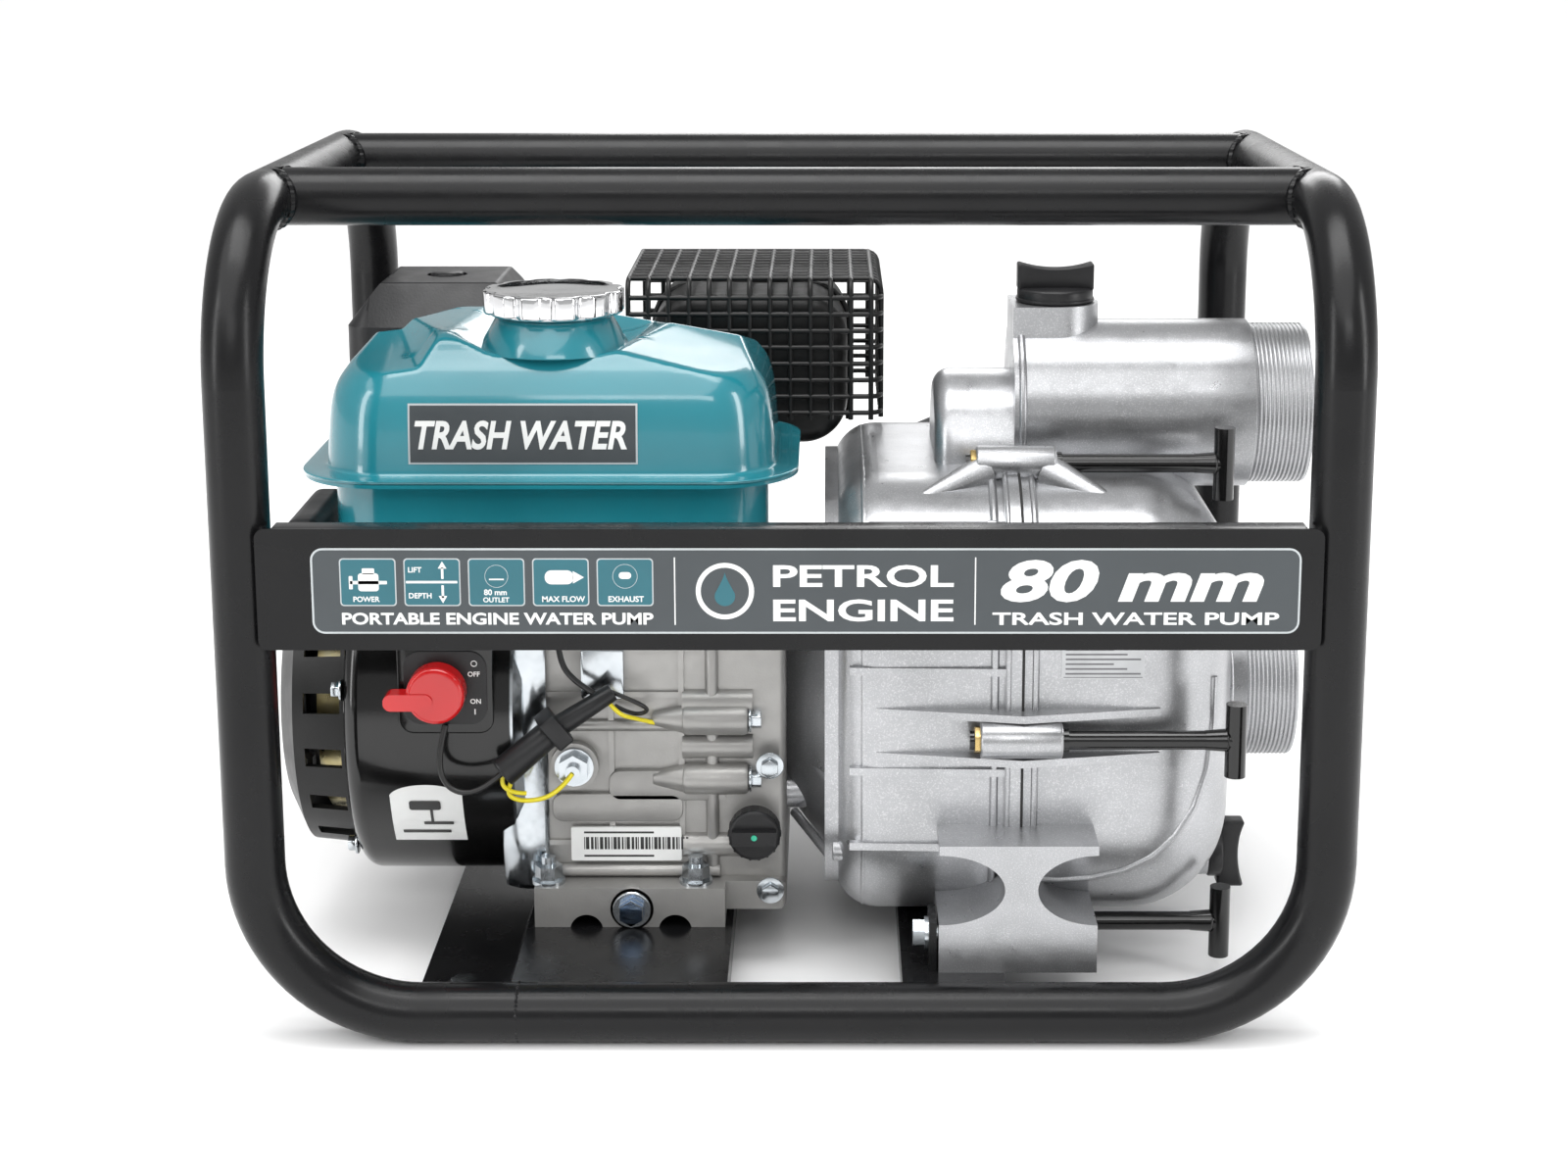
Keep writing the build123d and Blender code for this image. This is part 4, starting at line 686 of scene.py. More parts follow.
# The raised panel that carries the switch, pressed in the drum's front.
drum_panel = plate("drum_switch_panel", (-210, -159), (-117.5, -100), (136, 190), "Y", 8, 1.5)
fit(drum_panel, gloss_black)
SHAFT_Y = -13
DRUM_Z = 132
DRUM_R = 103
RIM_BOLTS_R = 97
heads = []
for number, turn in enumerate((35, 100, 165, 230, 320)):
    y = SHAFT_Y + RIM_BOLTS_R * cos(radians(turn))
    z = DRUM_Z + RIM_BOLTS_R * sin(radians(turn))
    heads += bolt_head(f"recoil_bolt_{number}", (-241.2, y * 0.985, z * 0.985 + 2), (-1, 0, 0), 8, 4.5, 6.0)
fit(join("recoil_bolts", heads), zinc)


def slice_across(piece, axis, places):
    """Divides a piece by level cuts across one axis, at places in millimetres."""
    across = Vector([float(letter == axis) for letter in "XYZ"])
    only(piece)
    bpy.ops.object.mode_set(mode="EDIT")
    for place in places:
        bpy.ops.mesh.select_all(action="SELECT")
        bpy.ops.mesh.bisect(plane_co=across * place * mm, plane_no=across)
    bpy.ops.object.mode_set(mode="OBJECT")


# The inner plate's bright edge shows between the drum and the crankcase, bent in and out.
SHROUD_X = (-158, -133)
SHROUD_Z = (40, 180)
SHROUD_FOOT = 70
shroud = block("shroud_edge", SHROUD_X, (-98.5, -97), SHROUD_Z)
slice_across(shroud, "Z", [SHROUD_Z[0] + cut * 3.5 for cut in range(1, 40)])
slice_across(shroud, "X", [SHROUD_X[0] + cut * 2.5 for cut in range(1, 10)])
for vertex in shroud.data.vertices:
    high = vertex.co.z / mm
    along = (vertex.co.x / mm - SHROUD_X[0]) / (SHROUD_X[1] - SHROUD_X[0])
    vertex.co.y -= (3.0 * sin(high / 21.0) * along + 5 * sin(pi * along)) * mm
    vertex.co.y += 10 * max(0.0, (SHROUD_FOOT - high) / 30) ** 2 * mm
fit(shroud, zinc, angle=60)
# The marks beside the switch, and the picture label lower on the drum.
MARK_FACE = -119.1
marks = [lettering("mark_off", "OFF", -172, 168.5, 2.6, MARK_FACE),
         lettering("mark_on", "ON", -171, 153.5, 2.6, MARK_FACE),
         ring("mark_off_round", (-168.5, MARK_FACE, 175.5), "Y", 1.5, 0.25, 24, 4),
         block("mark_on_bar", (-168.8, -168.2), (-119.2, -119.0), (147.5, 150.5))]
fit(join("switch_marks", marks), print_white)


def wrap(piece, lift):
    """Bends a flat plate back on to the round of the drum, lifted a little off it."""
    for vertex in piece.data.vertices:
        rise = vertex.co.z / mm - DRUM_Z
        depth = vertex.co.y / mm
        surface = SHAFT_Y - sqrt(max((DRUM_R + lift) ** 2 - rise * rise, 0))
        vertex.co.y = (surface + depth) * mm


def fine_grid(name, x, z, across, up):
    """A flat sheet of small squares facing the front, to be bent on to a curved face."""
    bpy.ops.object.select_all(action="DESELECT")
    bpy.ops.mesh.primitive_grid_add(
        x_subdivisions=across, y_subdivisions=up, size=1, rotation=(pi / 2, 0, 0),
        location=(sum(x) / 2 * mm, 0, sum(z) / 2 * mm))
    piece = bpy.context.active_object
    piece.name = name
    piece.scale = ((x[1] - x[0]) * mm, (z[1] - z[0]) * mm, 1)
    settle(piece)
    return piece


# The label's upper edge is a round arch.
LABEL_X = (-217, -178)
LABEL_SHOULDER = 98
LABEL_MIDDLE = sum(LABEL_X) / 2
LABEL_HALF = (LABEL_X[1] - LABEL_X[0]) / 2
drum_label = fine_grid("drum_label", LABEL_X, (68, 106), 30, 30)
for vertex in drum_label.data.vertices:
    share = (vertex.co.x / mm - LABEL_MIDDLE) / LABEL_HALF
    above = vertex.co.z / mm - LABEL_SHOULDER
    if above > 0:
        vertex.co.z = (LABEL_SHOULDER + above * sqrt(max(0.0, 1 - 0.95 * share * share))) * mm
wrap(drum_label, 0.25)
fit(drum_label, label_white)
INK = (-0.2, 0)
diagram = [plate("diagram_jug", (-207, -190), INK, (90, 96), "Y", 1.5),
           plate("diagram_sump", (-212, -186), INK, (74, 76), "Y", 0.4),
           plate("diagram_neck", (-200, -184), INK, (80, 82), "Y", 0.4),
           plate("diagram_arrow", (-196, -194.5), INK, (82, 90), "Y", 0.2)]
diagram_print = join("drum_label_print", diagram)
wrap(diagram_print, 0.45)
fit(diagram_print, label_black)

# The starter rope: a braided cord from the guide on the rim up to the knot in the grip.
ROPE_X, ROPE_Y = -257.5, -74
ROPE_LOW, ROPE_HIGH = 196, 221
bpy.ops.object.select_all(action="DESELECT")
bpy.ops.mesh.primitive_cylinder_add(
    vertices=16, radius=2.0 * mm, depth=(ROPE_HIGH - ROPE_LOW) * mm,
    location=(ROPE_X * mm, ROPE_Y * mm, (ROPE_LOW + ROPE_HIGH) / 2 * mm))
rope = bpy.context.active_object
rope.name = "starter_rope_cord"
slice_across(rope, "Z", range(ROPE_LOW + 1, ROPE_HIGH))
settle(rope)


def swell(piece, x, y, rule, from_radius=0.0):
    """Moves a piece's points out from an upright axis, by a rule of their turn and their height."""
    for vertex in piece.data.vertices:
        out = Vector((vertex.co.x / mm - x, vertex.co.y / mm - y))
        if out.length > from_radius:
            out *= rule(atan2(out.y, out.x), vertex.co.z / mm)
            vertex.co.x = (x + out.x) * mm
            vertex.co.y = (y + out.y) * mm


swell(rope, ROPE_X, ROPE_Y, lambda turn, z: 1 + 0.05 * sin(z * 3.0 + 4 * turn))
rope_finish, tree, shader, coords = start_finish("braided_cord")
braid = tree.nodes.new("ShaderNodeTexWave")
braid.inputs["Scale"].default_value = 420
braid.bands_direction = "DIAGONAL"
tree.links.new(coords, braid.inputs["Vector"])
tree.links.new(graded(tree, braid.outputs["Fac"], (0.3, (0.02, 0.02, 0.02)), (0.7, (0.09, 0.09, 0.09))),
               shader.inputs["Base Color"])
shader.inputs["Roughness"].default_value = 0.8
emboss(tree, shader, braid.outputs["Fac"], 0.0003)
rope.data.materials.append(rope_finish)
bpy.ops.object.shade_smooth_by_angle(angle=radians(60))
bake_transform(rope)
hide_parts("starter_rope")

# ---------------------------------------------------------------------------------------------
# The fuel tank: two deep drawn steel shells, seam welded at the lip and enamelled blue-green.
# The upper shell has pressed facets at its corners and a sunk saddle for the chromed cap.

tank_blue = enamel("blue_green_enamel", (0.012, 0.185, 0.23), (0.016, 0.21, 0.26), 0.17, 0.25, 0.00003, 0.7)
dress(tank_blue, "fuel_tank_lower")
TANK_MIDDLE = (-128.0, -48.0)
TANK_HALF = (119.0, 74.0)
# The shell's profile: how far in from the wall, and how high, from the lip to the flat top.
SHELL_PROFILE = ((-11.6, 275.8), (-11.9, 276.6), (-11.4, 277.5), (-2.5, 277.7), (-0.6, 278.4),
                 (0.0, 280.5), (0.8, 292), (2.0, 306), (3.8, 316), (6.5, 323.0), (11.0, 329.5),
                 (16.0, 335.5), (20.5, 341.0), (24.5, 345.8), (29.0, 348.4), (36.0, 349.0))


def profile(share):
    """Inset and height along the shell's profile, smoothly, from 0 at the lip to 1 on top."""
    place = share * (len(SHELL_PROFILE) - 1)
    step = min(int(place), len(SHELL_PROFILE) - 2)
    part = place - step
    before = SHELL_PROFILE[max(step - 1, 0)]
    here = SHELL_PROFILE[step]
    after = SHELL_PROFILE[step + 1]
    beyond = SHELL_PROFILE[min(step + 2, len(SHELL_PROFILE) - 1)]
    result = []
    for a, b, c, d in zip(before, here, after, beyond):
        lead = (c - a) / 2
        tail = (d - b) / 2
        square = part * part
        cube = square * part
        result.append(b * (2 * cube - 3 * square + 1) + lead * (cube - 2 * square + part)
                      + c * (3 * square - 2 * cube) + tail * (cube - square))
    return result


def outline_point(turn, inset):
    """The point of the tank's rounded outline in a direction, set in by so much."""
    half_x = TANK_HALF[0] - inset
    half_y = TANK_HALF[1] - inset
    corner = max(36 - inset * 0.55, 8)
    x = cos(turn)
    y = sin(turn)
    reach = min(half_x / max(abs(x), 1e-9), half_y / max(abs(y), 1e-9))
    core_x = half_x - corner
    core_y = half_y - corner
    if abs(x) * reach > core_x and abs(y) * reach > core_y:
        along = abs(x) * core_x + abs(y) * core_y
        reach = along + sqrt(max(along * along - core_x ** 2 - core_y ** 2 + corner ** 2, 0))
    return TANK_MIDDLE[0] + x * reach, TANK_MIDDLE[1] + y * reach


def soft_least(a, b, blend):
    """The smaller of two heights, with a soft fold where they cross."""
    share = max(0.0, min(1.0, 0.5 + 0.5 * (b - a) / blend))
    return b * (1 - share) + a * share - blend * share * (1 - share)


SADDLE_FLOOR = 338.5


# The pressed planes, each as its slope along X, its slope along Y and its height at the origin.
LEFT_FACETS = ((0.1148, 0.2079, 377.3), (0.9977, 0.4609, 576.59))
RIGHT_FACET = (-0.183, 0.198, 343.9)
SADDLE_WALLS = ((-0.42, 0.042, 277.012), (0.32, -0.032, 366.788), (0.0, 0.6, 355.3))
SHOULDER_Z = 300


def plane_height(plane, x, y):
    """How high a sloping plane is at a place."""
    return plane[0] * x + plane[1] * y + plane[2]


def pressed_height(x, y, z):
    """The shell's height after its facets and the cap's saddle are pressed in."""
    if z < SHOULDER_Z:
        return z
    mirror_y = y if y < TANK_MIDDLE[1] else 2 * TANK_MIDDLE[1] - y
    facet, side_facet = [plane_height(plane, x, mirror_y) for plane in LEFT_FACETS]
    left = -soft_least(-facet, -side_facet, 1.5)
    z = soft_least(z, left, 1.6)
    z = soft_least(z, plane_height(RIGHT_FACET, x, mirror_y), 1.6)
    saddle = SADDLE_FLOOR
    for plane in SADDLE_WALLS:
        saddle = -soft_least(-saddle, -plane_height(plane, x, y), 2.0)
    return soft_least(z, saddle, 1.6)


bpy.ops.object.select_all(action="DESELECT")
bpy.ops.mesh.primitive_grid_add(x_subdivisions=176, y_subdivisions=176, size=2, location=(0, 0, 0))
tank_shell = bpy.context.active_object
tank_shell.name = "tank_shell"
FLAT_SHARE = 0.42
for vertex in tank_shell.data.vertices:
    u, v = vertex.co.x, vertex.co.y
    square = max(abs(u), abs(v))
    turn = atan2(v * TANK_HALF[1], u * TANK_HALF[0])
    if square > FLAT_SHARE:
        inset, z = profile((1 - square) / (1 - FLAT_SHARE))
        x, y = outline_point(turn, inset)
    else:
        x, y = outline_point(turn, SHELL_PROFILE[-1][0])
        x = TANK_MIDDLE[0] + (x - TANK_MIDDLE[0]) * square / FLAT_SHARE
        y = TANK_MIDDLE[1] + (y - TANK_MIDDLE[1]) * square / FLAT_SHARE
        z = SHELL_PROFILE[-1][1]
    vertex.co = (x * mm, y * mm, pressed_height(x, y, z) * mm)
settle(tank_shell)
wall = tank_shell.modifiers.new("sheet", "SOLIDIFY")
wall.thickness = 1.0 * mm
wall.offset = -1
fit(tank_shell, tank_blue, angle=60)
CAP_X, CAP_Y = -127, -72
tank_neck = ring("tank_neck", (CAP_X, CAP_Y, 353.5), "Z", 29.5, 1.6, 96, 10)
neck_wall = bar("tank_neck_wall", (CAP_X, CAP_Y, 337), (CAP_X, CAP_Y, 355), 41.0, 96, 1.0, 30.5)
fit(join("tank_filler_neck", [tank_neck, neck_wall]), tank_blue)
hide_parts("fuel_tank_upper")


LIP_TOP = 279


def on_tank_front(piece, lift):
    """Lays a flat sheet on the tank's front wall, lifted a little off it."""
    wall = [profile(step / 400 * 0.75) for step in range(401)]
    wall = [(inset, z) for inset, z in wall if z > LIP_TOP]
    for vertex in piece.data.vertices:
        nearest = min(wall, key=lambda place: abs(place[1] - vertex.co.z / mm))
        vertex.co.y += (TANK_MIDDLE[1] - TANK_HALF[1] + nearest[0] - lift) * mm


for name, x, z, corner, lift, finish in (
        ("tank_label_edge", (-199, -80), (284, 315.5), 2, 0.25, panel_line),
        ("tank_label", (-198, -81), (285, 314.5), 1, 0.45, panel_grey)):
    label = fine_grid(name, x, z, 24, 16)
    on_tank_front(label, lift)
    fit(label, finish)
label_words = lettering("tank_label_words", "TRASH WATER", -195.5, 292.5, 14.0, 0, width=110,
                        slant=0.22, weight=0.04)
on_tank_front(label_words, 0.7)
fit(label_words, print_white)

# The filler cap is pressed from sheet, with a stepped top and twelve scallops round its edge.
chrome = bare_metal("bright_chrome", (40, 2), (0.72, 0.73, 0.74), (0.82, 0.82, 0.83), (200, 2), 0.05, 0.11,
                    (35, 0.0002, 0.4))
CAP_TOP = 369
cap_body = bar("cap_body", (CAP_X, CAP_Y, 356.5), (CAP_X, CAP_Y, CAP_TOP), 37.5, 144, 0)
only(cap_body)
bpy.ops.object.mode_set(mode="EDIT")
bpy.ops.mesh.select_mode(type="FACE")
bpy.ops.mesh.select_all(action="DESELECT")
bpy.ops.object.mode_set(mode="OBJECT")
for face in cap_body.data.polygons:
    face.select = face.normal.z > 0.9
bpy.ops.object.mode_set(mode="EDIT")
for thickness, depth in ((2.2, 1.0), (4.5, 0), (2.0, -1.6), (20.0, 0.6)):
    bpy.ops.mesh.inset(thickness=thickness * mm, depth=depth * mm)
bpy.ops.object.mode_set(mode="OBJECT")
swell(cap_body, CAP_X, CAP_Y, lambda turn, z: 1 - 0.075 * max(0.0, cos(12 * turn)) ** 0.8, 34)
for vertex in cap_body.data.vertices:
    vertex.co.z = min(vertex.co.z, CAP_TOP * mm)
soften(cap_body, 1.4, 4, 40)
cap_skirt = ring("cap_skirt", (CAP_X, CAP_Y, 357.2), "Z", 33.5, 1.4, 96, 10)
fuel_cap = join("fuel_cap_chrome", [cap_body, cap_skirt])
fit(fuel_cap, chrome, body="tank_cap", angle=50)
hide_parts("fuel_cap")

# ---------------------------------------------------------------------------------------------
# The wiring: soft sheathed leads that run from the switch on the drum to the oil sensor on the
# crankcase, joined in a moulded connector with a collar clip. They are held at both ends.

black_wire = printed("black_wire_sheath", (0.012, 0.012, 0.012), 0.4, 0.1)
yellow_wire = printed("yellow_wire_sheath", (0.78, 0.66, 0.015), 0.35, 0.2)
red_plastic = enamel("glossy_red_plastic", (0.60, 0.008, 0.010), (0.68, 0.012, 0.014), 0.16, 0.22,
                     0.00002, 0.5)
dress(red_plastic, "switch_knob")


def lead(name, points, diameter, finish):
    """A soft round lead that runs smoothly along a few points, in millimetres."""
    line = bpy.data.curves.new(name, "CURVE")
    line.dimensions = "3D"
    spline = line.splines.new("NURBS")
    spline.points.add(len(points) - 1)
    for point, place in zip(spline.points, points):
        point.co = (*(Vector(place) * mm), 1)
    spline.order_u = 3
    spline.use_endpoint_u = True
    spline.resolution_u = 12
    line.bevel_depth = diameter / 2 * mm
    line.bevel_resolution = 4
    line.use_fill_caps = True
    piece = bpy.data.objects.new(name, line)
    bpy.context.collection.objects.link(piece)
    line.materials.append(finish)
    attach(piece, "frame")
    return piece


def lead_length(piece):
    """How long a lead is along its smooth line, in metres."""
    thin = piece.data.copy()
    thin.bevel_depth = 0
    probe = bpy.data.objects.new("probe", thin)
    bpy.context.collection.objects.link(probe)
    line = bpy.data.meshes.new_from_object(probe)
    places = [vertex.co.copy() for vertex in line.vertices]
    bpy.data.objects.remove(probe)
    return sum((after - before).length for before, after in zip(places, places[1:]))


switch_lead = lead("switch_lead", [(-184, -121, 142), (-189, -126, 124), (-182, -130, 108),
                                   (-164, -131, 108), (-150.5, -126, 121)], 3.2, black_wire)
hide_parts("switch_wire")
lead_length(switch_lead)
sensor_lead = lead("sensor_lead", [(-148, -125, 114.5), (-154, -124, 105), (-143, -121, 99),
                                   (-126, -117, 102), (-118.3, -113, 112.3)], 2.6, yellow_wire)
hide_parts("sensor_wire")
lead_length(sensor_lead)

# The connector: a sleeve with an open mouth, a square collar clip and a narrower tail.
MOUTH, COLLAR, TAIL = (-154, -126.5, 117.5), (-128, -119.3, 138.6), (-96, -111, 157.5)
mouth = bar("sleeve_mouth", MOUTH, COLLAR, 8.2, 32, 0.6, 7.4)
tail = bar("sleeve_tail", COLLAR, TAIL, 6.2, 32, 0.8, 4.8)
lip = ring("sleeve_lip", (0, 0, 0), "Z", 7.6, 0.9, 32)
lip_turn = (Vector(COLLAR) - Vector(MOUTH)).to_track_quat("Z", "Y")
for vertex in lip.data.vertices:
    vertex.co = lip_turn @ vertex.co + Vector((-153.5, -126.3, 118.0)) * mm
clip = block("sleeve_clip", (-5, 5), (-9.5, 9.5), (-9.5, 9.5), 1.5)
for vertex in clip.data.vertices:
    turned_place = Vector((vertex.co.y, vertex.co.z, vertex.co.x))
    vertex.co = lip_turn @ turned_place + Vector((-127, -118.9, 139.5)) * mm
connector = join("wire_connector_sleeve", [mouth, tail, lip, clip])
fit(connector, black_plastic)
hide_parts("wire_connector")
bracket = plate("wire_bracket", (-114, -91), (-101, -96), (150, 178), "Y", 2, 0.8)
fit(bracket, zinc)
for name, points, thick, finish, slot in (
        ("ignition_lead", [(-126, -99, 196), (-126, -108, 178), (-117, -113, 163), (-98, -111, 152)],
         3.2, black_wire, "black_wire"),
        ("sensor_tail", [(-101, -112, 156), (-94, -114, 146), (-84, -106, 141), (-74, -98.5, 136)],
         2.4, yellow_wire, "yellow_wire"),
        ("earth_loop", [(-99, -110, 158), (-84, -113, 153), (-76, -108, 146), (-86, -104, 142),
                        (-96, -99, 146)], 2.4, black_wire, "black_wire"),
        ("sensor_feed", [(-151, -125, 121), (-156, -126, 113), (-150, -126, 106), (-142, -123, 105)],
         2.4, yellow_wire, "yellow_wire")):
    lead(name, points, thick, finish)

# ---------------------------------------------------------------------------------------------
# The pump: two sand-smooth aluminium castings split across the middle, lacquered silver, with
# ribs, flanges and bosses cast on. The front half comes off by hand on six T-handled bolts.

pump_cast = cast_metal("pump_silver_lacquer", (0.37, 0.375, 0.385), (0.46, 0.465, 0.48), 0.85, 0.27, 0.37,
                       900, 0.00005, 0.25)
dress(pump_cast, "pump_rear_casing", "pump_front_cover", "discharge_port", "suction_port")
brass = bare_metal("brass", (80, 3), (0.50, 0.36, 0.14), (0.62, 0.47, 0.22), (300, 2), 0.22, 0.36)
FRONT_FACE = -143.0
BACK_FACE = 117.0
CASING_ROUND = 65
END_ROUND = 56
END_START = 180
ROUND_LOW, ROUND_HIGH = 93, 205


def casing_front(x, z):
    """How far forward the casing's front surface is at a place, with its rounded edges."""
    y = FRONT_FACE
    if x > END_START:
        y += END_ROUND - sqrt(max(END_ROUND ** 2 - (x - END_START) ** 2, 0))
    if z < ROUND_LOW:
        y += CASING_ROUND - sqrt(max(CASING_ROUND ** 2 - (ROUND_LOW - z) ** 2, 0))
    if z > ROUND_HIGH:
        y += CASING_ROUND - sqrt(max(CASING_ROUND ** 2 - (z - ROUND_HIGH) ** 2, 0))
    return y


def bead(name, points, r, closed=False, sides=3):
    """A smooth round bead along points, in millimetres, as one mesh."""
    line = bpy.data.curves.new(name, "CURVE")
    line.dimensions = "3D"
    spline = line.splines.new("POLY")
    spline.points.add(len(points) - 1)
    for point, place in zip(spline.points, points):
        point.co = (*(Vector(place) * mm), 1)
    spline.use_cyclic_u = closed
    line.bevel_depth = r * mm
    line.bevel_resolution = sides
    line.use_fill_caps = True
    piece = bpy.data.objects.new(name, line)
    bpy.context.collection.objects.link(piece)
    only(piece)
    bpy.ops.object.convert(target="MESH")
    settle(piece)
    return piece


def hoop(name, x, grow, r):
    """A bead all the way round the casing at one place along the shaft."""
    corner = CASING_ROUND + grow
    back = BACK_FACE - CASING_ROUND
    front = FRONT_FACE + CASING_ROUND
    points = []
    for middle_y, middle_z, start in ((back, ROUND_HIGH, 0), (front, ROUND_HIGH, 90),
                                      (front, ROUND_LOW, 180), (back, ROUND_LOW, 270)):
        for step in range(13):
            turn = radians(start + step * 7.5)
            points.append((x, middle_y + corner * cos(turn), middle_z + corner * sin(turn)))
    return bead(name, points, r, True)


pump_trim = [hoop("rear_flange_bead", 105.5, 0.6, 2.2), hoop("rear_flange_lip", 112.5, 3.4, 1.5),
             hoop("front_flange_bead", 126.5, 1.6, 2.0), hoop("rear_step_bead", 38.0, -3.5, 2.4)]
# The volute's outline stands up as a bead on the front half.
volute_line = [(124, 62), (142, 61), (160, 63), (176, 68), (190, 76), (202, 87), (212, 101), (219, 120),
               (222, 145), (222, 170)]
pump_trim.append(bead("volute_bead", [(x, casing_front(x, z) + 0.6, z) for x, z in volute_line], 2.2))
TOP_EDGE_Z = 252
top_edge_y = casing_front(40, TOP_EDGE_Z) + 0.4
pump_trim.append(bead("top_edge_bead", [(x, top_edge_y, TOP_EDGE_Z) for x in range(40, 116, 8)], 1.6))
# Flared webs run out from each top boss to a point, flattened against the casing. Each web at
# the back is the mirror of its fellow in front, about the shaft.
WEB_Y = -88
for number, (root_x, x, z) in enumerate(((136, 190, 250), (102, 46, 252))):
    for side in (-1, 1):
        web = bar(f"flare_{number}_{side}", (root_x, WEB_Y, 271), (x, casing_front(x, z) + 1.5, z), 11.0, 24,
                  0, 0.8)
        for vertex in web.data.vertices:
            y = WEB_Y + 0.75 * (vertex.co.y / mm - WEB_Y)
            vertex.co.y = (y if side == -1 else 2 * SHAFT_Y - y) * mm
        if side == 1:
            web.data.flip_normals()
        pump_trim.append(web)
# Pairs of bars thicken the casing beside its side bosses, and a skin thickens each boss.
for z in (150.5, 138.5):
    for side in (-1, 1):
        y = SHAFT_Y + side * 134
        pump_trim.append(bar(f"boss_root_{z:.0f}_{side}", (99, y, z), (139, y, z), 5.5, 24))
BOLT_PLACES = ((72, 276.5), (140, 144.5), (105, 31))
for out, z in BOLT_PLACES[:2]:
    for side in (-1, 1):
        y = SHAFT_Y + side * out
        pump_trim.append(bar(f"boss_skin_{z:.0f}_{side}", (97.5, y, z), (140, y, z), 9.6, 40, 1.2))
for z in (74, 186):
    pump_trim.append(bar(f"bell_lug_{z}", (21, -122, z), (36, -122, z), 7.0, 32, 1.0))
# Webs run down from the casing to the bell that meets the engine.
for z in (150, 112, 70):
    pump_trim.append(bar(f"bell_web_{z}", (0, -66, z + 4), (24, -112, z - 10), 2.6, 20, 0))
pump_trim.append(bar("core_plug", (104, -124.5, 249), (104, -127.5, 250.5), 5.5, 32, 1.2))
fit(join("pump_ribs", pump_trim), pump_cast, angle=50)
gasket = hoop("pump_gasket", 120, 4.2, 0.7)
fit(gasket, rubber)
nuts = []
for side in (-1, 1):
    for out, z in BOLT_PLACES[:2]:
        y = SHAFT_Y + side * out
        nuts.append(hexagon(f"bolt_insert_{side}_{z:.0f}", (94.5, y, z), (98, y, z), 13))
fit(join("t_bolt_inserts", nuts), brass)

# The data plate is a thin printed foil, with plain bars for its rows and a line at its foot.
foil, tree, shader, coords = start_finish("silver_foil")
vary(tree, shader, coords, "Base Color", (60, 3), (0.3, (0.50, 0.51, 0.52)), (0.7, (0.60, 0.61, 0.62)))
shader.inputs["Metallic"].default_value = 0.5
shader.inputs["Roughness"].default_value = 0.35
fit(plate("data_plate", (140, 183), (-143.7, -142.5), (174.5, 207), "Y", 1.5), foil)
ROW_LOW, ROW_STEP = 177, 2.6
rows = []
for number in range(11):
    z = ROW_LOW + number * ROW_STEP
    rows.append(block(f"data_row_{number}", (142, 181 - 7 * (number % 3)), (-143.82, -143.6), (z, z + 0.9)))
rows.append(block("data_edge_low", (141, 182), (-143.8, -143.6), (175.3, 175.7)))
fit(join("data_plate_print", rows), printed("data_grey_ink", (0.16, 0.16, 0.17)))

# ---------------------------------------------------------------------------------------------
# The ports: hose threads turned on the ends of the cast pipes, with rounded crests. They are
# lacquered with the castings, and rounded collars mark where the pipes grow out of them.


def thread(name, start, end, centre_z, turns):
    """A row of thread crests round a port, as rings side by side."""
    crests = []
    for number in range(turns):
        x = start + (end - start) * (number + 0.5) / turns
        crests.append(ring(f"{name}_{number}", (x, SHAFT_Y, centre_z), "X", 43.3, 1.25, 96))
    fit(join(name, crests), pump_cast, angle=60)


DISCHARGE_Z = 296
SUCTION_Z = 137
thread("discharge_thread", 252.5, 282.5, DISCHARGE_Z, 13)
thread("suction_thread", 251.5, 279.8, SUCTION_Z, 12)
collars = [ring("pipe_shoulder", (250.5, SHAFT_Y, DISCHARGE_Z), "X", 45.6, 1.1, 96),
           ring("pipe_root", (124.5, SHAFT_Y, DISCHARGE_Z), "X", 46.6, 2.2, 96),
           ring("suction_root", (241.5, SHAFT_Y, SUCTION_Z), "X", 51.0, 1.6, 96)]
fit(join("port_collars", collars), pump_cast, angle=60)


def wing(name, length, high, thin, thick, dip):
    """A hand wing standing on Z, thick at its ends and hollowed along the top, at the origin."""
    piece = block(name, (-length / 2, length / 2), (-thin, thin), (0, high))
    slice_across(piece, "X", [-length / 2 + length * cut / 16 for cut in range(1, 16)])
    slice_across(piece, "Z", [high * 0.4])
    for vertex in piece.data.vertices:
        share = abs(vertex.co.x / mm) / (length / 2)
        vertex.co.y *= 1 + (thick / thin - 1) * share ** 3
        vertex.co.z -= dip * (1 - share * share) * (vertex.co.z / (high * mm)) * mm
    soften(piece, 1.6, 3, 35)
    return piece


# The priming plug stands on the discharge pipe, and the drain plug lies low in the front half.
PRIMING_X = 144.5
DRAIN_PLUG_Y, DRAIN_PLUG_Z = -50, 45
priming_wing = wing("priming_wing", 42, 15.5, 4.0, 7.0, 3.2)
for vertex in priming_wing.data.vertices:
    vertex.co += Vector((PRIMING_X, SHAFT_Y, 359.5)) * mm
priming_disc = bar("priming_disc", (PRIMING_X, SHAFT_Y, 353.2), (PRIMING_X, SHAFT_Y, 361), 21.0, 64, 1.5)
priming_flange = ring("priming_flange", (PRIMING_X, SHAFT_Y, 354.6), "Z", 20.6, 1.2, 64)
priming_plug = join("priming_plug_moulding", [priming_wing, priming_disc, priming_flange])
fit(priming_plug, black_plastic, body="priming_cap", angle=45)
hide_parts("priming_plug")
drain_wing = wing("drain_wing", 38, 15.0, 4.0, 6.5, 3.2)
for vertex in drain_wing.data.vertices:
    turned_place = Vector((vertex.co.z, vertex.co.y, -vertex.co.x))
    vertex.co = turned_place + Vector((238, DRAIN_PLUG_Y, DRAIN_PLUG_Z)) * mm
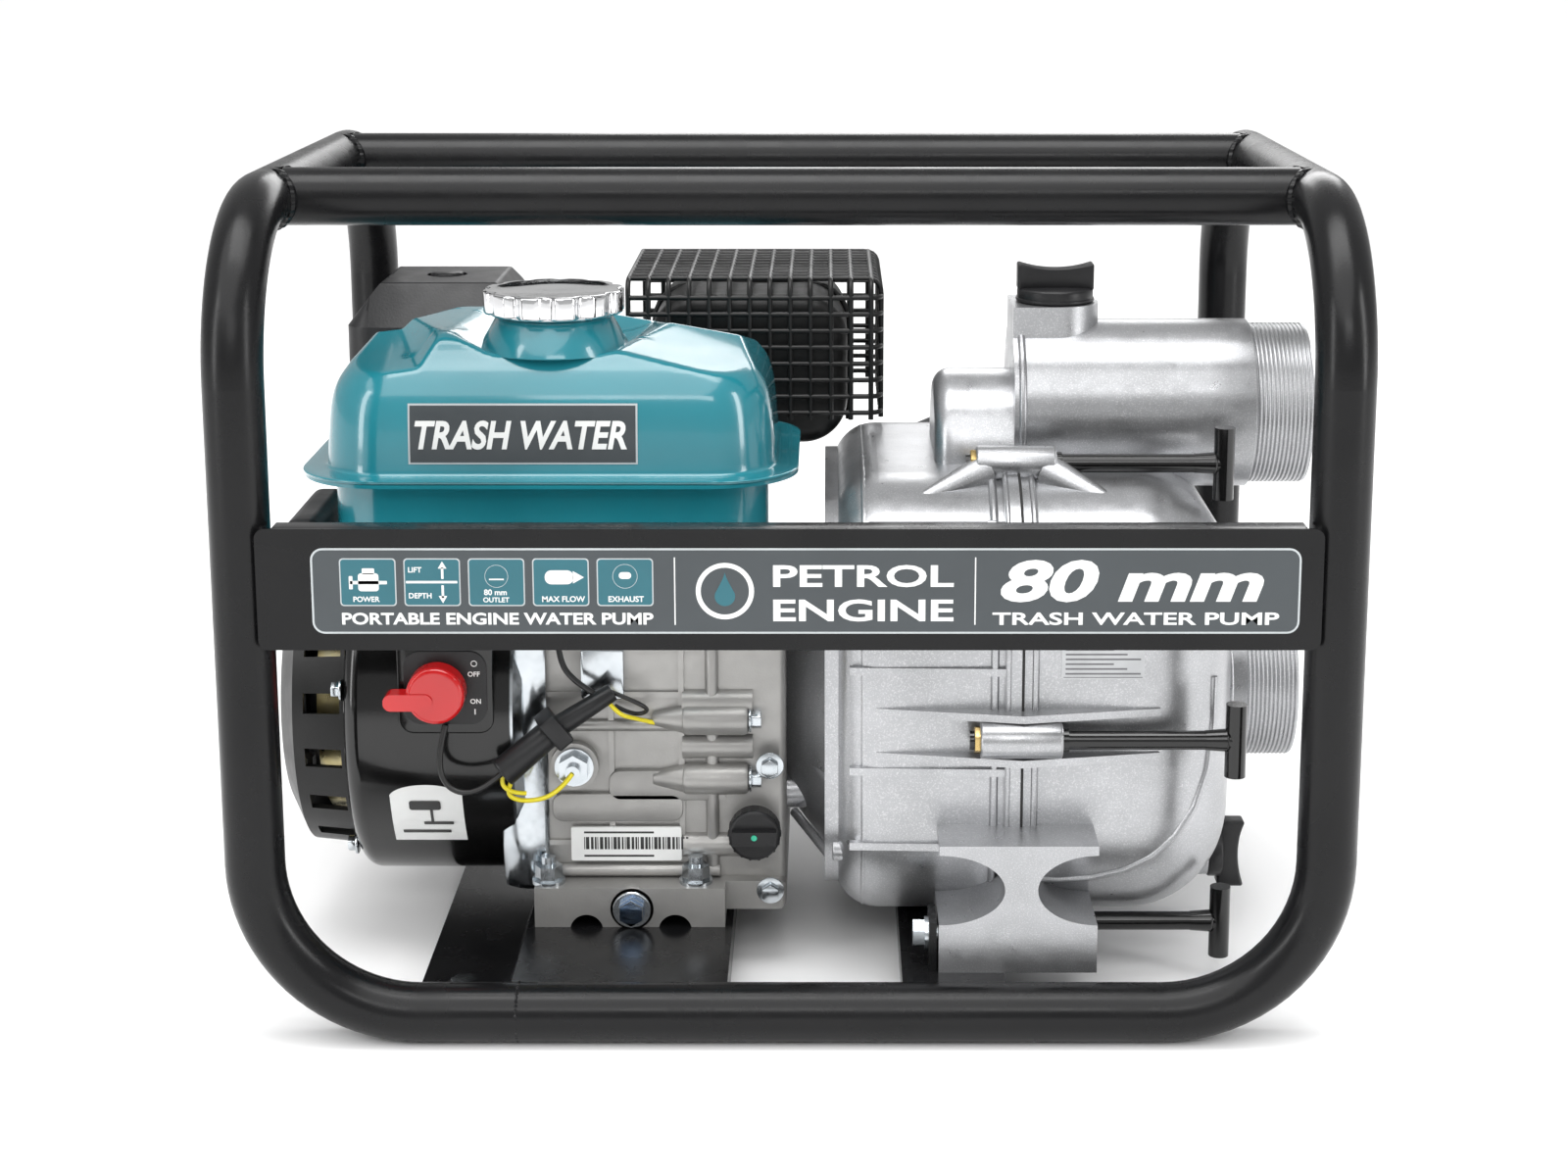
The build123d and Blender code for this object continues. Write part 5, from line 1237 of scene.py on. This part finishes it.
drain_disc = bar("drain_disc", (232.2, DRAIN_PLUG_Y, DRAIN_PLUG_Z), (240, DRAIN_PLUG_Y, DRAIN_PLUG_Z),
                 14.0, 48, 1.2)
drain_plug = join("drain_plug_moulding", [drain_wing, drain_disc])
fit(drain_plug, black_plastic, body="drain_cap", angle=45)
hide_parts("pump_drain_plug")

# ---------------------------------------------------------------------------------------------
# The T-handled bolts: each cross bar is welded across the end of its rod, with a short flared
# neck and a small fillet round it. All are steel in black enamel.

bolt_centres = [(SHAFT_Y + side * out, z) for side in (-1, 1) for out, z in BOLT_PLACES]
for number, (y, z) in enumerate(bolt_centres, start=1):
    fillet = [ring(f"t_weld_{number}", (224.8, y, z), "X", 4.6, 1.5, 40),
              bar(f"t_neck_{number}", (214, y, z), (225, y, z), 5.2, 32, 0, 6.0)]
    fit(join(f"t_bolt_weld_{number}", fillet), gloss_black,
        body=f"t_bolt_{number}", angle=60)

# ---------------------------------------------------------------------------------------------
# The silencer's cage: round steel wires spot welded where they cross and dipped in heat proof
# black. Wires run over the top from back to front, and round the right side from back to front.

CAGE_LEFT, CAGE_RIGHT = -96.6, 49.6
CAGE_FRONT, CAGE_BACK = 41.6, 179.6
CAGE_LOW, CAGE_HIGH = 275.0, 356.4
WIRE_R = 1.5


def rounded_run(corners, radius, steps=5):
    """The points of a run with each inner corner rounded, in millimetres."""
    points = [Vector(corners[0])]
    for before, here, after in zip(corners, corners[1:], corners[2:]):
        into = (Vector(here) - Vector(before)).normalized()
        out = (Vector(after) - Vector(here)).normalized()
        start = Vector(here) - into * radius
        end = Vector(here) + out * radius
        for step in range(steps + 1):
            share = step / steps
            points.append(start * (1 - share) ** 2 + Vector(here) * 2 * share * (1 - share)
                          + end * share ** 2)
    points.append(Vector(corners[-1]))
    return points


wires = []
for number in range(13):
    x = CAGE_LEFT + (CAGE_RIGHT - 6 - CAGE_LEFT) * number / 12
    run = rounded_run([(x, CAGE_BACK, CAGE_LOW), (x, CAGE_BACK, CAGE_HIGH), (x, CAGE_FRONT, CAGE_HIGH),
                       (x, CAGE_FRONT, CAGE_LOW)], 9)
    wires.append(bead(f"cage_hoop_{number}", run, WIRE_R, sides=2))
for number in range(8):
    z = CAGE_LOW + 4 + (CAGE_HIGH - 14 - CAGE_LOW) * number / 7
    run = rounded_run([(CAGE_LEFT, CAGE_BACK, z), (CAGE_RIGHT, CAGE_BACK, z),
                       (CAGE_RIGHT, CAGE_FRONT, z), (CAGE_LEFT, CAGE_FRONT, z)], 9)
    wires.append(bead(f"cage_row_{number}", run, WIRE_R, sides=2))
for number in range(11):
    y = CAGE_FRONT + 9 + (CAGE_BACK - CAGE_FRONT - 18) * number / 10
    run = rounded_run([(CAGE_LEFT, y, CAGE_HIGH), (CAGE_RIGHT, y, CAGE_HIGH), (CAGE_RIGHT, y, CAGE_LOW)], 9)
    wires.append(bead(f"cage_over_{number}", run, WIRE_R, sides=2))
cage = join("silencer_cage", wires)
fit(cage, heat_black, angle=60)
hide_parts("muffler_guard")
# The silencer's two pressed halves meet in a seam that runs over its top and ends.
seam_run = [(-86, 110, 262), (-86, 110, 343), (-4, 110, 347), (31, 110, 343), (31, 110, 262)]
seam = bead("silencer_seam", rounded_run(seam_run, 24), 1.8, sides=2)
fit(seam, heat_black, angle=60)

# The air filter's cover is held by a low moulded knob that sits in its hollow.
KNOB_X, KNOB_Y = -211, 114
filter_knob = bar("filter_knob", (KNOB_X, KNOB_Y, 343), (KNOB_X, KNOB_Y, 351.5), 10.0, 48, 1.5)
swell(filter_knob, KNOB_X, KNOB_Y, lambda turn, z: 1 - 0.08 * max(0.0, cos(8 * turn)))
fit(filter_knob, black_plastic, body="wing_nut", angle=45)
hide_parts("air_filter_nut")
